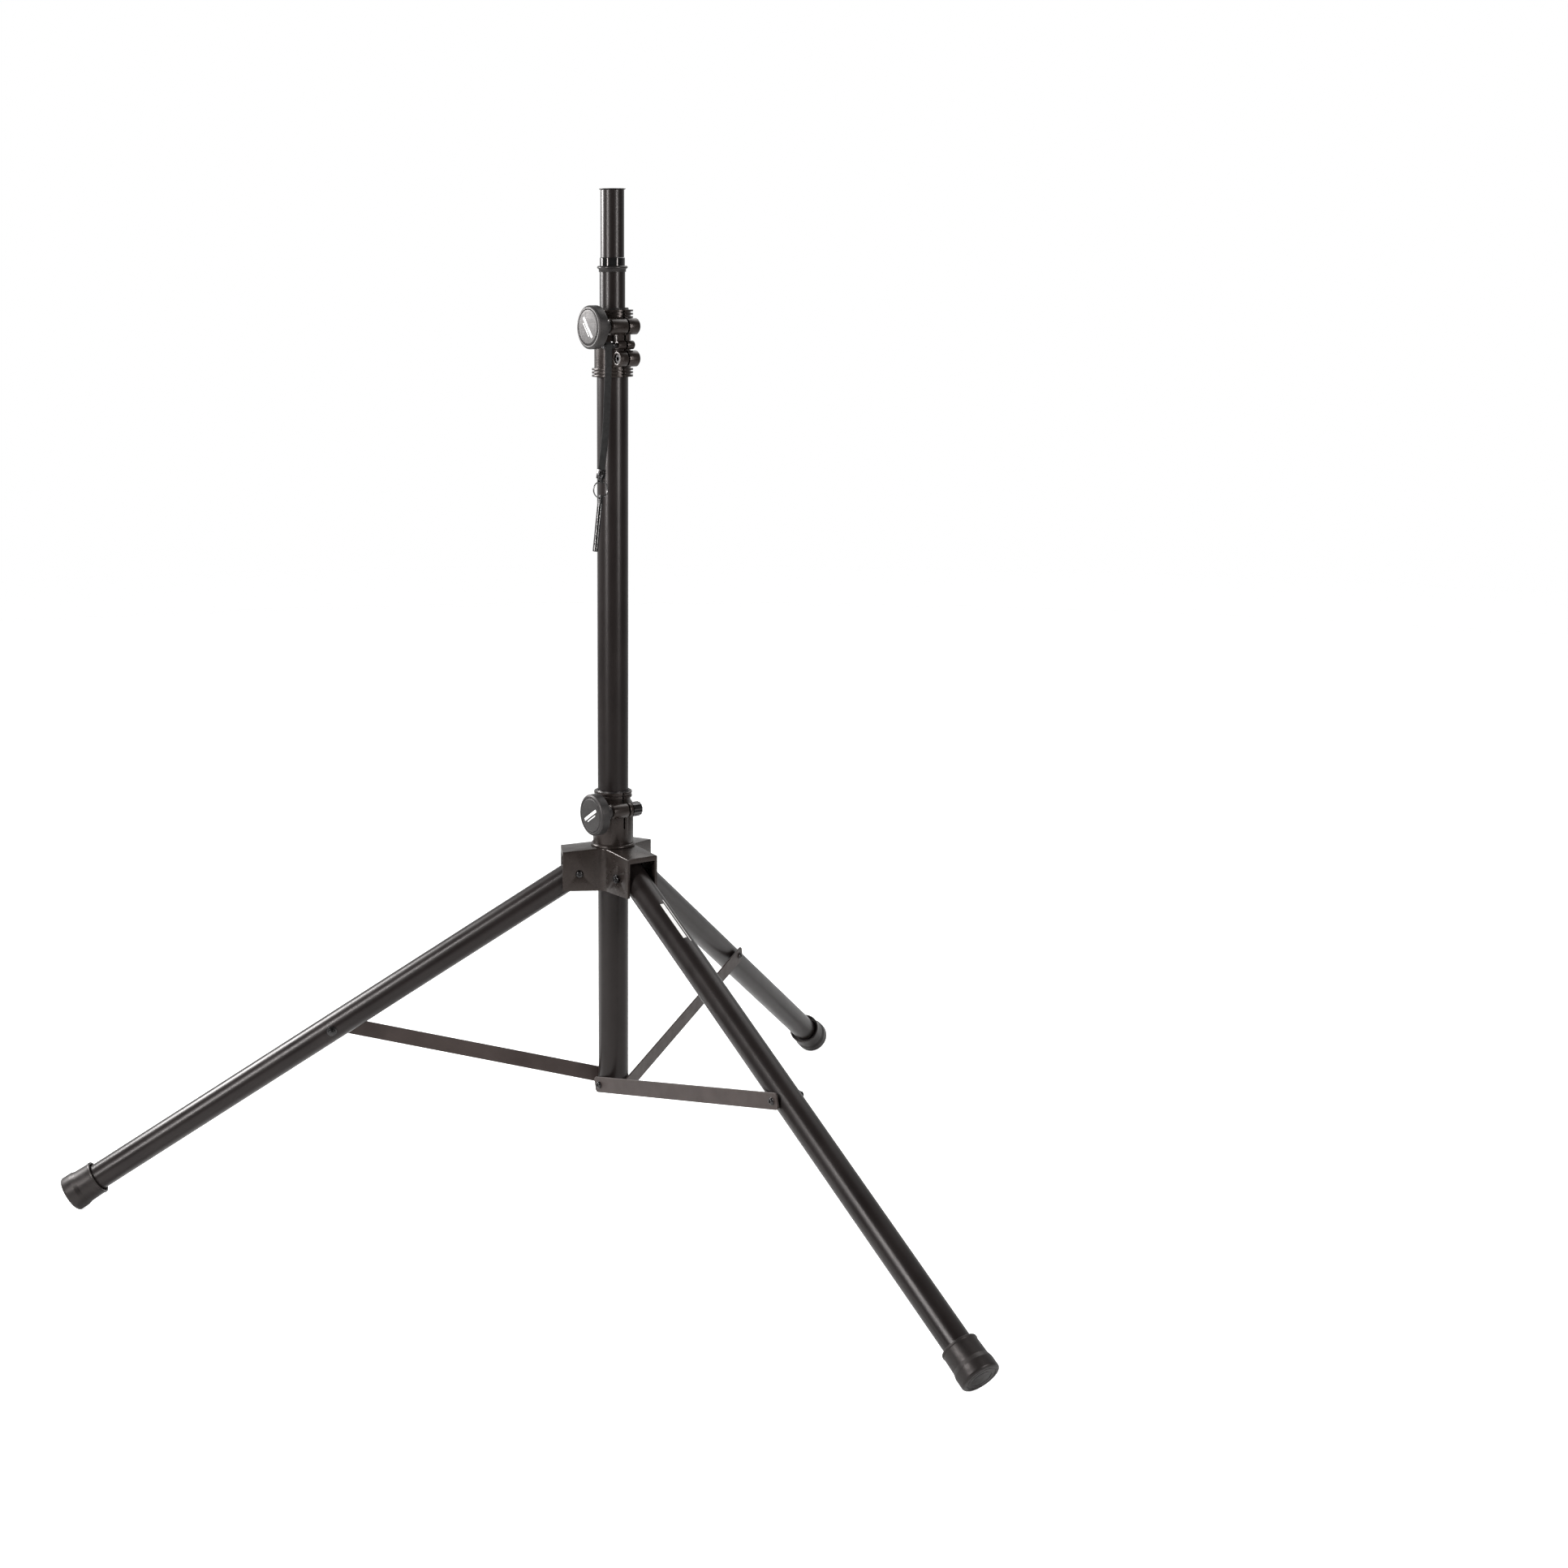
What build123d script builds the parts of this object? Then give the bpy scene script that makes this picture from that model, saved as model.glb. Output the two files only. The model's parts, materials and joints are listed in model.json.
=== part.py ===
from build123d import *

import os
from math import acos, asin, cos, degrees, hypot, radians, sin, tan

# A folding tripod stand for a loudspeaker. Millimetres, +Z up, origin on the mast axis at floor level.
# Leg 1 points along -Y, legs 2 and 3 follow counter-clockwise. The clamp slits face -Y and the clamp
# knobs stand at the -X side. "Clockwise" is as seen from above, the right-hand side looking outward.

os.makedirs("parts", exist_ok=True)

# Tubes
POLE_R = 17.5
POLE_WALL = 2.0
POLE_ROOT_R = 17.0
SHAFT_R = 19.0
SHAFT_WALL = SHAFT_R - POLE_ROOT_R
MAST_R = 23.5
MAST_WALL = 1.5
LEG_R = 21.0
LEG_WALL = 1.5
RUNNING_FIT = 0.06
SCREW_FIT = 0.05
BODY_GAP = 0.3

# Heights on the mast
MAST_BOTTOM = 205.0
MAST_TOP = 1376.0
FLANGE_BOTTOM = 1449.0
FLANGE_TOP = 1458.0
SLEEVE_TOP = 1470.0
POLE_TOP = 1567.0
SHAFT_BOTTOM = 372.0

# Top collar
COLLAR_BOTTOM = 1296.0
COLLAR_TOP = 1394.0
COLLAR_R = 27.2
RIB_R = 30.8
RIB = 2.6
RIB_GAP = 2.2
CLAMP_Z = 1370.0
FIXING_Z = 1323.0
LANYARD_Z = 1343.0
BOSS_Y = -33.0
BOSS_R = 12.0
BOSS_LEFT = -30.0
BOSS_RIGHT = 21.0
FIXING_LEFT = -14.5
SLIT = 3.0
SLIT_INNER = -18.0

# Hub
HUB_BOTTOM = 583.0
HUB_TOP = 664.0
HUB_R = 31.3
HUB_BORE_R = 25.0
HUB_CLAMP_Z = 639.0
HUB_BOSS_Y = -36.0
HUB_BOSS_R = 11.5
HUB_BOSS_RIGHT = 8.0
HUB_SLIT_BOTTOM = 608.0
HOUSING_BOTTOM = 511.0
HOUSING_TOP = 578.5
ARM_TOP = 573.0
ARM_WIDTH = 55.0
ARM_END = 80.0
CHANNEL_WIDTH = 46.0
CHANNEL_START = 28.0
CHANNEL_TOP = 565.0

# Legs and braces
AZIMUTHS = (270, 30, 150)
PIVOT_RADIUS = 54.0
PIVOT_Z = 538.0
LEG_ANGLE = 32.5
BRACE_ON_LEG = 460.0
BRACE_FOOT_Z = 192.0
BAR_SIDE = MAST_R + 0.8
BAR_THICK = 3.0
BAR_WIDE = 25.0
BAR_PAST_BOLT = 12.5
BAR_CORNER = 6.0
LEG_BOLT_R = 4.0
BRACE_BOLT_R = 3.0
BUTTON_HEAD_R = 5.8
BUTTON_HEAD = 3.5
SOCKET_R = 2.3
SOCKET_DEEP = 2.0
LEG_BACK = 8.0
CAP_START = 905.0
CAP_MOUTH_R = 23.8
CAP_MOUTH = 6.0
CAP_LIP_WIDE_R = 27.2
CAP_LIP_WIDE = 3.0
CAP_RIM_R = 26.4
CAP_SHOULDER = 24.0
CAP_BODY = 17.0
CAP_R = 29.0
CAP_ROUND = 4.0
CAP_FLOOR = 10.0

# Knobs: distances from the slit plane along -X
KNOB_R = 31.8
KNOB_BACK = 48.5
KNOB_FACE = 65.5
KNOB_BOLT_R = 4.0
KNOB_CAP_R = 26.0
BOLT_CLEARANCE = 0.4

# Lanyard
STRAP_WIDE = 12.0
STRAP_THICK = 1.6
RING_R = 12.4
RING_WIRE_R = 1.1
RING_X = -44.0
RING_Z = 1132.0
PIN_R = 4.2
PIN_LENGTH = 80.0
PIN_TILT = 7.0
EYELET_R = 5.2
STRAP_ROUTE = (
    (-30.0, 1337.7),
    (-29.8, 1304.0),
    (-31.9, 1268.0),
    (-33.1, 1232.0),
    (-37.2, 1196.0),
    (-42.4, 1161.5),
)
ARC_SHARE = 0.45


def save(piece, name):
    piece.part.label = name
    export_step(piece.part, f"parts/{name}.step")


def turned(points):
    """Closed outline of (radius, height) points, to be revolved about the mast axis."""
    with BuildSketch(Plane.XZ) as outline:
        with BuildLine():
            Polyline(*points, close=True)
        make_face()
    return outline.sketch


def tube_wall(inner, outer, bottom, top):
    """Outline of a plain ring from its radii and heights."""
    return turned([(inner, bottom), (outer, bottom), (outer, top), (inner, top)])


def disc_across(radius, x, y, z):
    """Circle on the plane across X, for the bosses, screws and bolts that lie along X."""
    with BuildSketch(Plane.YZ.offset(x)) as section:
        with Locations((y, z)):
            Circle(radius)
    return section.sketch


def outward(azimuth):
    return Vector(cos(radians(azimuth)), sin(radians(azimuth)), 0)


def clockwise(azimuth):
    return Vector(sin(radians(azimuth)), -cos(radians(azimuth)), 0)


def side_plane(azimuth, offset=0.0):
    """Upright plane along a leg: x outward, y up, z clockwise, moved clockwise by the offset."""
    return Plane(origin=clockwise(azimuth) * offset, x_dir=outward(azimuth), z_dir=clockwise(azimuth))


def side_disc(azimuth, offset, radius, out, up):
    """Circle on the upright plane of a leg."""
    with BuildSketch(side_plane(azimuth, offset)) as section:
        with Locations((out, up)):
            Circle(radius)
    return section.sketch


def leg_direction(azimuth):
    return outward(azimuth) * cos(radians(LEG_ANGLE)) - Vector(0, 0, sin(radians(LEG_ANGLE)))


def leg_pivot(azimuth):
    return outward(azimuth) * PIVOT_RADIUS + Vector(0, 0, PIVOT_Z)


def leg_section(azimuth, along):
    """Plane square to the leg, at a distance along it from its pivot."""
    direction = leg_direction(azimuth)
    origin = leg_pivot(azimuth) + direction * along
    return Plane(origin=origin, x_dir=clockwise(azimuth), z_dir=direction)


def leg_profile_plane(azimuth):
    """Plane through the leg's axis: x along the leg from its pivot, y square to it."""
    return Plane(origin=leg_pivot(azimuth), x_dir=leg_direction(azimuth), z_dir=clockwise(azimuth))


def knob_outline(y, z, points):
    """Closed outline of (distance, radius) points, to be revolved about a knob's axis."""
    with BuildSketch(Plane(origin=(0, y, z), x_dir=(-1, 0, 0), z_dir=(0, 1, 0))) as outline:
        with BuildLine():
            Polyline(*points, close=True)
        make_face()
    return outline.sketch


def knob_axis(y, z):
    return Axis((0, y, z), (-1, 0, 0))


def boss_outline(radius, left, right, y, z, edge):
    """Outline of a round boss along X with chamfered ends, to be revolved about a knob's axis."""
    points = [(-left, 0), (-left, radius - edge), (-left - edge, radius)]
    points += [(edge - right, radius), (-right, radius - edge), (-right, 0)]
    return knob_outline(y, z, points)


# Where the foot's rounded edge meets the floor fixes the length of the leg.
leg_sin = sin(radians(LEG_ANGLE))
leg_cos = cos(radians(LEG_ANGLE))
foot_end = CAP_ROUND + (PIVOT_Z - CAP_ROUND - (CAP_R - CAP_ROUND) * leg_cos) / leg_sin
tube_end = foot_end - CAP_FLOOR

# The brace runs from the foot plug to its bolt on the leg.
brace_out = PIVOT_RADIUS + BRACE_ON_LEG * leg_cos
brace_up = PIVOT_Z - BRACE_ON_LEG * leg_sin
brace_rise = brace_up - BRACE_FOOT_Z
brace_length = hypot(brace_out, brace_rise)
brace_angle = degrees(asin(brace_rise / brace_length))

# Folded, the legs hang almost straight down and the hub stands higher on the mast.
FOLDED_LEG_ANGLE = 88.5
folded_out = PIVOT_RADIUS + BRACE_ON_LEG * cos(radians(FOLDED_LEG_ANGLE))
folded_drop = BRACE_ON_LEG * sin(radians(FOLDED_LEG_ANGLE))
folded_pivot_z = BRACE_FOOT_Z + brace_length * sin(acos(folded_out / brace_length)) + folded_drop
hub_travel = folded_pivot_z - PIVOT_Z
folded_brace_angle = degrees(acos(folded_out / brace_length))
foot_radius = PIVOT_RADIUS + foot_end * leg_cos
print("leg length from pivot", round(foot_end, 2), "foot radius", round(foot_radius, 2))
print("brace length", round(brace_length, 3))
print("brace angle", round(brace_angle, 3), "to", round(folded_brace_angle, 3))
print("hub travel", round(hub_travel, 3), "leg turn", FOLDED_LEG_ANGLE - LEG_ANGLE)

# ---- mast -------------------------------------------------------------------------------------------

with BuildPart() as mast_tube:
    revolve(tube_wall(MAST_R - MAST_WALL, MAST_R, MAST_BOTTOM, MAST_TOP), axis=Axis.Z)
save(mast_tube, "mast_tube")

PLUG_BOTTOM = 180.0
PLUG_R = MAST_R + 0.4
PLUG_EDGE = 2.0
PLUG_FLOOR_TOP = 209.0
SPIGOT_R = MAST_R - MAST_WALL - SCREW_FIT
SPIGOT_TOP = 245.0
PLUG_HOLLOW_R = 14.0
BOLT_START = 8.0

with BuildPart() as mast_foot_plug:
    revolve(
        turned(
            [
                (0, PLUG_BOTTOM),
                (PLUG_R - PLUG_EDGE, PLUG_BOTTOM),
                (PLUG_R, PLUG_BOTTOM + PLUG_EDGE),
                (PLUG_R, MAST_BOTTOM),
                (SPIGOT_R, MAST_BOTTOM),
                (SPIGOT_R, SPIGOT_TOP),
                (PLUG_HOLLOW_R, SPIGOT_TOP),
                (PLUG_HOLLOW_R, PLUG_FLOOR_TOP),
                (0, PLUG_FLOOR_TOP),
            ]
        ),
        axis=Axis.Z,
    )
    for azimuth in AZIMUTHS:
        hole = side_disc(azimuth, BOLT_START, BRACE_BOLT_R, 0, BRACE_FOOT_Z)
        extrude(hole, amount=PLUG_R, mode=Mode.SUBTRACT)
save(mast_foot_plug, "mast_foot_plug")

# The three shoulder bolts that the braces turn on, screwed into the foot plug.
bar_outside = BAR_SIDE + BAR_THICK
head_start = bar_outside + BODY_GAP

with BuildPart() as brace_pivot_bolts:
    for azimuth in AZIMUTHS:
        shank = side_disc(azimuth, BOLT_START, BRACE_BOLT_R, 0, BRACE_FOOT_Z)
        extrude(shank, amount=head_start - BOLT_START)
        head = side_disc(azimuth, head_start, BUTTON_HEAD_R, 0, BRACE_FOOT_Z)
        extrude(head, amount=BUTTON_HEAD)
        with BuildSketch(side_plane(azimuth, head_start + BUTTON_HEAD)) as socket:
            with Locations((0, BRACE_FOOT_Z)):
                RegularPolygon(SOCKET_R, 6)
        extrude(socket.sketch, amount=-SOCKET_DEEP, mode=Mode.SUBTRACT)
save(brace_pivot_bolts, "brace_pivot_bolts")

# ---- top collar -------------------------------------------------------------------------------------


def rib_outline(first, step):
    """Outline of three ribs from a first height, upward with a positive step, downward with a negative."""
    points = []
    for rib in range(3):
        start = first + step * rib * (RIB + RIB_GAP)
        points += [(RIB_R, start), (RIB_R, start + step * RIB)]
        points += [(COLLAR_R, start + step * RIB), (COLLAR_R, start + step * (RIB + RIB_GAP))]
    return points


WEB_LEFT = -14.0
WEB_RIGHT = 8.0
WEB_BACK = -15.0
NUT_POCKET_R = 7.6
NUT_START = 13.6
SCREW_HEAD_R = 6.5
RECESS_R = 7.5
SCREW_R = 4.0
SCREW_RECESS = -8.0
LUG_R = 6.5
LUG_LEFT = -15.0
LUG_RIGHT = 14.5
LUG_EDGE = 1.0
BOSS_EDGE = 2.0
LANYARD_SCREW_R = 2.5

with BuildPart() as top_collar:
    lower_ribs = rib_outline(COLLAR_BOTTOM, 1)
    upper_ribs = rib_outline(COLLAR_TOP, -1)
    ribs = lower_ribs + upper_ribs[::-1]
    revolve(turned([(MAST_R, COLLAR_BOTTOM)] + ribs + [(MAST_R, COLLAR_TOP)]), axis=Axis.Z)
    with BuildSketch(Plane.XY.offset(FIXING_Z - BOSS_R)) as web:
        with Locations(((WEB_LEFT + WEB_RIGHT) / 2, (BOSS_Y + WEB_BACK) / 2)):
            Rectangle(WEB_RIGHT - WEB_LEFT, WEB_BACK - BOSS_Y)
    extrude(web.sketch, amount=CLAMP_Z - FIXING_Z + 2 * BOSS_R)
    clamp_boss = boss_outline(BOSS_R, BOSS_LEFT, BOSS_RIGHT, BOSS_Y, CLAMP_Z, BOSS_EDGE)
    revolve(clamp_boss, axis=knob_axis(BOSS_Y, CLAMP_Z))
    fixing_boss = boss_outline(BOSS_R, FIXING_LEFT, BOSS_RIGHT, BOSS_Y, FIXING_Z, BOSS_EDGE)
    revolve(fixing_boss, axis=knob_axis(BOSS_Y, FIXING_Z))
    lanyard_lug = boss_outline(LUG_R, LUG_LEFT, LUG_RIGHT, BOSS_Y, LANYARD_Z, LUG_EDGE)
    revolve(lanyard_lug, axis=knob_axis(BOSS_Y, LANYARD_Z))
    revolve(tube_wall(0, MAST_R, COLLAR_BOTTOM, COLLAR_TOP), axis=Axis.Z, mode=Mode.SUBTRACT)
    clamp_hole = disc_across(KNOB_BOLT_R + BOLT_CLEARANCE, BOSS_LEFT, BOSS_Y, CLAMP_Z)
    extrude(clamp_hole, amount=BOSS_RIGHT - BOSS_LEFT, mode=Mode.SUBTRACT)
    pocket = disc_across(NUT_POCKET_R, NUT_START, BOSS_Y, CLAMP_Z)
    extrude(pocket, amount=BOSS_RIGHT - NUT_START, mode=Mode.SUBTRACT)
    fixing_hole = disc_across(SCREW_R + SCREW_FIT, FIXING_LEFT, BOSS_Y, FIXING_Z)
    extrude(fixing_hole, amount=BOSS_RIGHT - FIXING_LEFT, mode=Mode.SUBTRACT)
    recess = disc_across(RECESS_R, FIXING_LEFT, BOSS_Y, FIXING_Z)
    extrude(recess, amount=SCREW_RECESS - FIXING_LEFT, mode=Mode.SUBTRACT)
    fixing_pocket = disc_across(NUT_POCKET_R, NUT_START, BOSS_Y, FIXING_Z)
    extrude(fixing_pocket, amount=BOSS_RIGHT - NUT_START, mode=Mode.SUBTRACT)
    lug_hole = disc_across(LANYARD_SCREW_R + SCREW_FIT, LUG_LEFT, BOSS_Y, LANYARD_Z)
    extrude(lug_hole, amount=LUG_RIGHT - LUG_LEFT, mode=Mode.SUBTRACT)
    with BuildSketch(Plane.XY.offset(COLLAR_BOTTOM)) as slit:
        with Locations((0, BOSS_Y)):
            Rectangle(SLIT, 2 * (SLIT_INNER - BOSS_Y))
    extrude(slit.sketch, amount=COLLAR_TOP - COLLAR_BOTTOM, mode=Mode.SUBTRACT)
save(top_collar, "top_collar")

BUSH_BOTTOM = 1330.0
BUSH_LIP_R = 24.5
BUSH_LIP = 3.0
shaft_bore_r = SHAFT_R + RUNNING_FIT

with BuildPart() as collar_bush:
    revolve(
        turned(
            [
                (shaft_bore_r, BUSH_BOTTOM),
                (SPIGOT_R, BUSH_BOTTOM),
                (SPIGOT_R, MAST_TOP),
                (MAST_R, MAST_TOP),
                (MAST_R, COLLAR_TOP),
                (BUSH_LIP_R, COLLAR_TOP),
                (BUSH_LIP_R - 1, COLLAR_TOP + BUSH_LIP),
                (shaft_bore_r, COLLAR_TOP + BUSH_LIP),
            ]
        ),
        axis=Axis.Z,
    )
save(collar_bush, "collar_bush")

SCREW_TIP = 19.0
SCREW_HEAD = 5.0
HEX_R = 3.2
HEX_DEEP = 3.0
FIXING_NUT = 5.5
NUT_R = 7.5

with BuildPart() as collar_fixing_screw:
    extrude(disc_across(SCREW_HEAD_R, SCREW_RECESS - SCREW_HEAD, BOSS_Y, FIXING_Z), amount=SCREW_HEAD)
    extrude(disc_across(SCREW_R, SCREW_RECESS, BOSS_Y, FIXING_Z), amount=SCREW_TIP - SCREW_RECESS)
    with BuildSketch(Plane.YZ.offset(SCREW_RECESS - SCREW_HEAD)) as socket:
        with Locations((BOSS_Y, FIXING_Z)):
            RegularPolygon(HEX_R, 6)
    extrude(socket.sketch, amount=HEX_DEEP, mode=Mode.SUBTRACT)
save(collar_fixing_screw, "collar_fixing_screw")

with BuildPart() as collar_fixing_nut:
    extrude(disc_across(NUT_R, NUT_START, BOSS_Y, FIXING_Z), amount=FIXING_NUT)
    nut_bore = disc_across(SCREW_R + SCREW_FIT, NUT_START, BOSS_Y, FIXING_Z)
    extrude(nut_bore, amount=FIXING_NUT, mode=Mode.SUBTRACT)
save(collar_fixing_nut, "collar_fixing_nut")

CLAMP_NUT_END = 22.0
THREAD_END = 0.8

with BuildPart() as collar_clamp_nut:
    nut_length = CLAMP_NUT_END - NUT_START
    extrude(disc_across(NUT_R, NUT_START, BOSS_Y, CLAMP_Z), amount=nut_length)
    chamfer(faces().sort_by(Axis.X)[-1].edges(), length=THREAD_END)
    nut_thread = disc_across(KNOB_BOLT_R + RUNNING_FIT, NUT_START, BOSS_Y, CLAMP_Z)
    extrude(nut_thread, amount=nut_length, mode=Mode.SUBTRACT)
save(collar_clamp_nut, "collar_clamp_nut")

EYELET_LEFT = -36.0
EYELET_RIGHT = -24.0
LANYARD_HEAD_R = 5.0
LANYARD_HEAD = 3.0
LANYARD_TIP = 17.4
HEAD_EDGE = 1.0

with BuildPart() as lanyard_screw:
    screw_left = EYELET_LEFT - BODY_GAP
    extrude(disc_across(LANYARD_HEAD_R, screw_left - LANYARD_HEAD, BOSS_Y, LANYARD_Z), amount=LANYARD_HEAD)
    chamfer(faces().sort_by(Axis.X)[0].edges(), length=HEAD_EDGE)
    extrude(disc_across(LANYARD_SCREW_R, screw_left, BOSS_Y, LANYARD_Z), amount=LANYARD_TIP - screw_left)
    chamfer(faces().sort_by(Axis.X)[-1].edges(), length=THREAD_END)
save(lanyard_screw, "lanyard_screw")

WASHER = 2.2
WASHER_R = 5.6
SLEEVE_TUBE_R = 3.9

with BuildPart() as lanyard_washer:
    washer_left = EYELET_RIGHT + BODY_GAP
    extrude(disc_across(WASHER_R, washer_left, BOSS_Y, LANYARD_Z), amount=WASHER)
    extrude(disc_across(SLEEVE_TUBE_R, washer_left, BOSS_Y, LANYARD_Z), amount=LUG_LEFT - washer_left)
    sleeve_hole = disc_across(LANYARD_SCREW_R + SCREW_FIT, washer_left, BOSS_Y, LANYARD_Z)
    extrude(sleeve_hole, amount=LUG_LEFT - washer_left, mode=Mode.SUBTRACT)
save(lanyard_washer, "lanyard_washer")

# ---- lanyard ----------------------------------------------------------------------------------------

with BuildPart() as strap_eyelet:
    eyelet_wide = EYELET_RIGHT - EYELET_LEFT
    extrude(disc_across(EYELET_R, EYELET_LEFT, BOSS_Y, LANYARD_Z), amount=eyelet_wide)
    eyelet_hole = disc_across(LANYARD_SCREW_R + BODY_GAP, EYELET_LEFT, BOSS_Y, LANYARD_Z)
    extrude(eyelet_hole, amount=eyelet_wide, mode=Mode.SUBTRACT)
save(strap_eyelet, "strap_eyelet")

route = [Vector(x, BOSS_Y, z) for x, z in STRAP_ROUTE]
bend_radii = []
for before, here, after in zip(route, route[1:], route[2:]):
    turn = radians((here - before).get_angle(after - here))
    bend_radii.append(ARC_SHARE * min((here - before).length, (after - here).length) / tan(turn / 2))
print("strap radii", [round(radius) for radius in bend_radii])

with BuildPart() as lanyard_strap:
    with BuildLine() as strap_line:
        FilletPolyline(*route, radius=bend_radii)
    start_direction = route[1] - route[0]
    with BuildSketch(Plane(origin=route[0], x_dir=(0, 1, 0), z_dir=start_direction)) as strap_section:
        Rectangle(STRAP_THICK, STRAP_WIDE)
    sweep(strap_section.sketch, path=strap_line.wires()[0])
strap_length = strap_line.wires()[0].length
print("strap length", round(strap_length, 2))
print("strap volume", round(lanyard_strap.part.volume, 1), round(strap_length * STRAP_THICK * STRAP_WIDE, 1))
save(lanyard_strap, "lanyard_strap")

CLASP_HALF = 6.6
CLASP_DEEP = 4.6
strap_end = route[-1]
end_direction = (route[-1] - route[-2]).normalized()
ring_top = RING_Z + RING_R
SHOULDER_UP = 5.0
TAB_UP = 3.0
TAB_DOWN = 3.4
TAB_HALF = 3.0
TAB_HOLE_R = 1.7
RIVET_R = 1.3
RIVET_HEAD_R = 2.6
RIVET_HEAD = 1.0
rivet_x = strap_end.X + RIVET_HEAD_R * 2 * end_direction.X
rivet_z = strap_end.Z + RIVET_HEAD_R * 2 * end_direction.Z

with BuildPart() as strap_clasp:
    with BuildSketch(Plane.XZ.offset(-BOSS_Y - CLASP_DEEP / 2)) as clasp_face:
        with BuildLine():
            Polyline(
                (strap_end.X + CLASP_HALF * end_direction.Z, strap_end.Z - CLASP_HALF * end_direction.X),
                (strap_end.X - CLASP_HALF * end_direction.Z, strap_end.Z + CLASP_HALF * end_direction.X),
                (RING_X + CLASP_HALF, ring_top + SHOULDER_UP),
                (RING_X + TAB_HALF, ring_top + TAB_UP),
                (RING_X + TAB_HALF, ring_top - TAB_DOWN),
                (RING_X - TAB_HALF, ring_top - TAB_DOWN),
                (RING_X - TAB_HALF, ring_top + TAB_UP),
                (RING_X - CLASP_HALF, ring_top + SHOULDER_UP),
                close=True,
            )
        make_face()
    extrude(clasp_face.sketch, amount=CLASP_DEEP)
    ring_hole = disc_across(TAB_HOLE_R, RING_X - CLASP_HALF, BOSS_Y, ring_top)
    extrude(ring_hole, amount=2 * CLASP_HALF, mode=Mode.SUBTRACT)
    with BuildSketch(Plane.XZ.offset(-BOSS_Y - CLASP_DEEP / 2)) as rivet_hole:
        with Locations((rivet_x, rivet_z)):
            Circle(RIVET_R)
    extrude(rivet_hole.sketch, amount=CLASP_DEEP, mode=Mode.SUBTRACT)
save(strap_clasp, "strap_clasp")

with BuildPart() as clasp_rivet:
    for start, radius, length in (
        (CLASP_DEEP / 2, RIVET_HEAD_R, RIVET_HEAD),
        (-CLASP_DEEP / 2, RIVET_R, CLASP_DEEP),
        (-CLASP_DEEP / 2 - RIVET_HEAD, RIVET_HEAD_R, RIVET_HEAD),
    ):
        with BuildSketch(Plane.XZ.offset(start - BOSS_Y)) as rivet_disc:
            with Locations((rivet_x, rivet_z)):
                Circle(radius)
        extrude(rivet_disc.sketch, amount=length)
save(clasp_rivet, "clasp_rivet")

with BuildPart() as split_ring:
    with BuildSketch(Plane(origin=(RING_X, BOSS_Y, RING_Z + RING_R), x_dir=(0, 1, 0), z_dir=(1, 0, 0))):
        Circle(RING_WIRE_R)
    revolve(axis=Axis((RING_X, BOSS_Y, RING_Z), (0, 1, 0)))
save(split_ring, "split_ring")

TANG_WIDE = 5.0
TANG_DEEP = 6.0
TANG_ABOVE = 4.2
TANG_BELOW = 8.0
PIN_ROUND = 1.5
tang_hole_z = RING_Z - RING_R
pin_up = Vector(sin(radians(PIN_TILT)), 0, cos(radians(PIN_TILT)))
pin_plane = Plane(origin=(RING_X, BOSS_Y, tang_hole_z), x_dir=pin_up.cross(Vector(0, -1, 0)), z_dir=pin_up)

with BuildPart() as safety_pin:
    with BuildSketch(pin_plane.offset(-PIN_LENGTH)) as pin_section:
        Circle(PIN_R)
    extrude(pin_section.sketch, amount=PIN_LENGTH - TANG_BELOW)
    fillet(faces().sort_by(Axis.Z)[0].edges(), radius=PIN_ROUND)
    with BuildSketch(pin_plane.offset(-TANG_BELOW)) as tang_section:
        Rectangle(TANG_WIDE, TANG_DEEP)
    extrude(tang_section.sketch, amount=TANG_BELOW + TANG_ABOVE)
    tang_hole = disc_across(TAB_HOLE_R, RING_X - TANG_WIDE, BOSS_Y, tang_hole_z)
    extrude(tang_hole, amount=2 * TANG_WIDE, mode=Mode.SUBTRACT)
save(safety_pin, "safety_pin")

# ---- hub --------------------------------------------------------------------------------------------

DISC_R = 29.3
NECK_R = 27.0
DISC = 3.0
BAND = 4.0
BAND_SLOPE = 5.0
HUB_SHOULDER_R = 28.8
HUB_NUT_R = 11.4
HUB_NUT_END = 24.0
HUB_NUT_EDGE = 1.0
NUT_SEAT_R = 11.7

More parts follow.
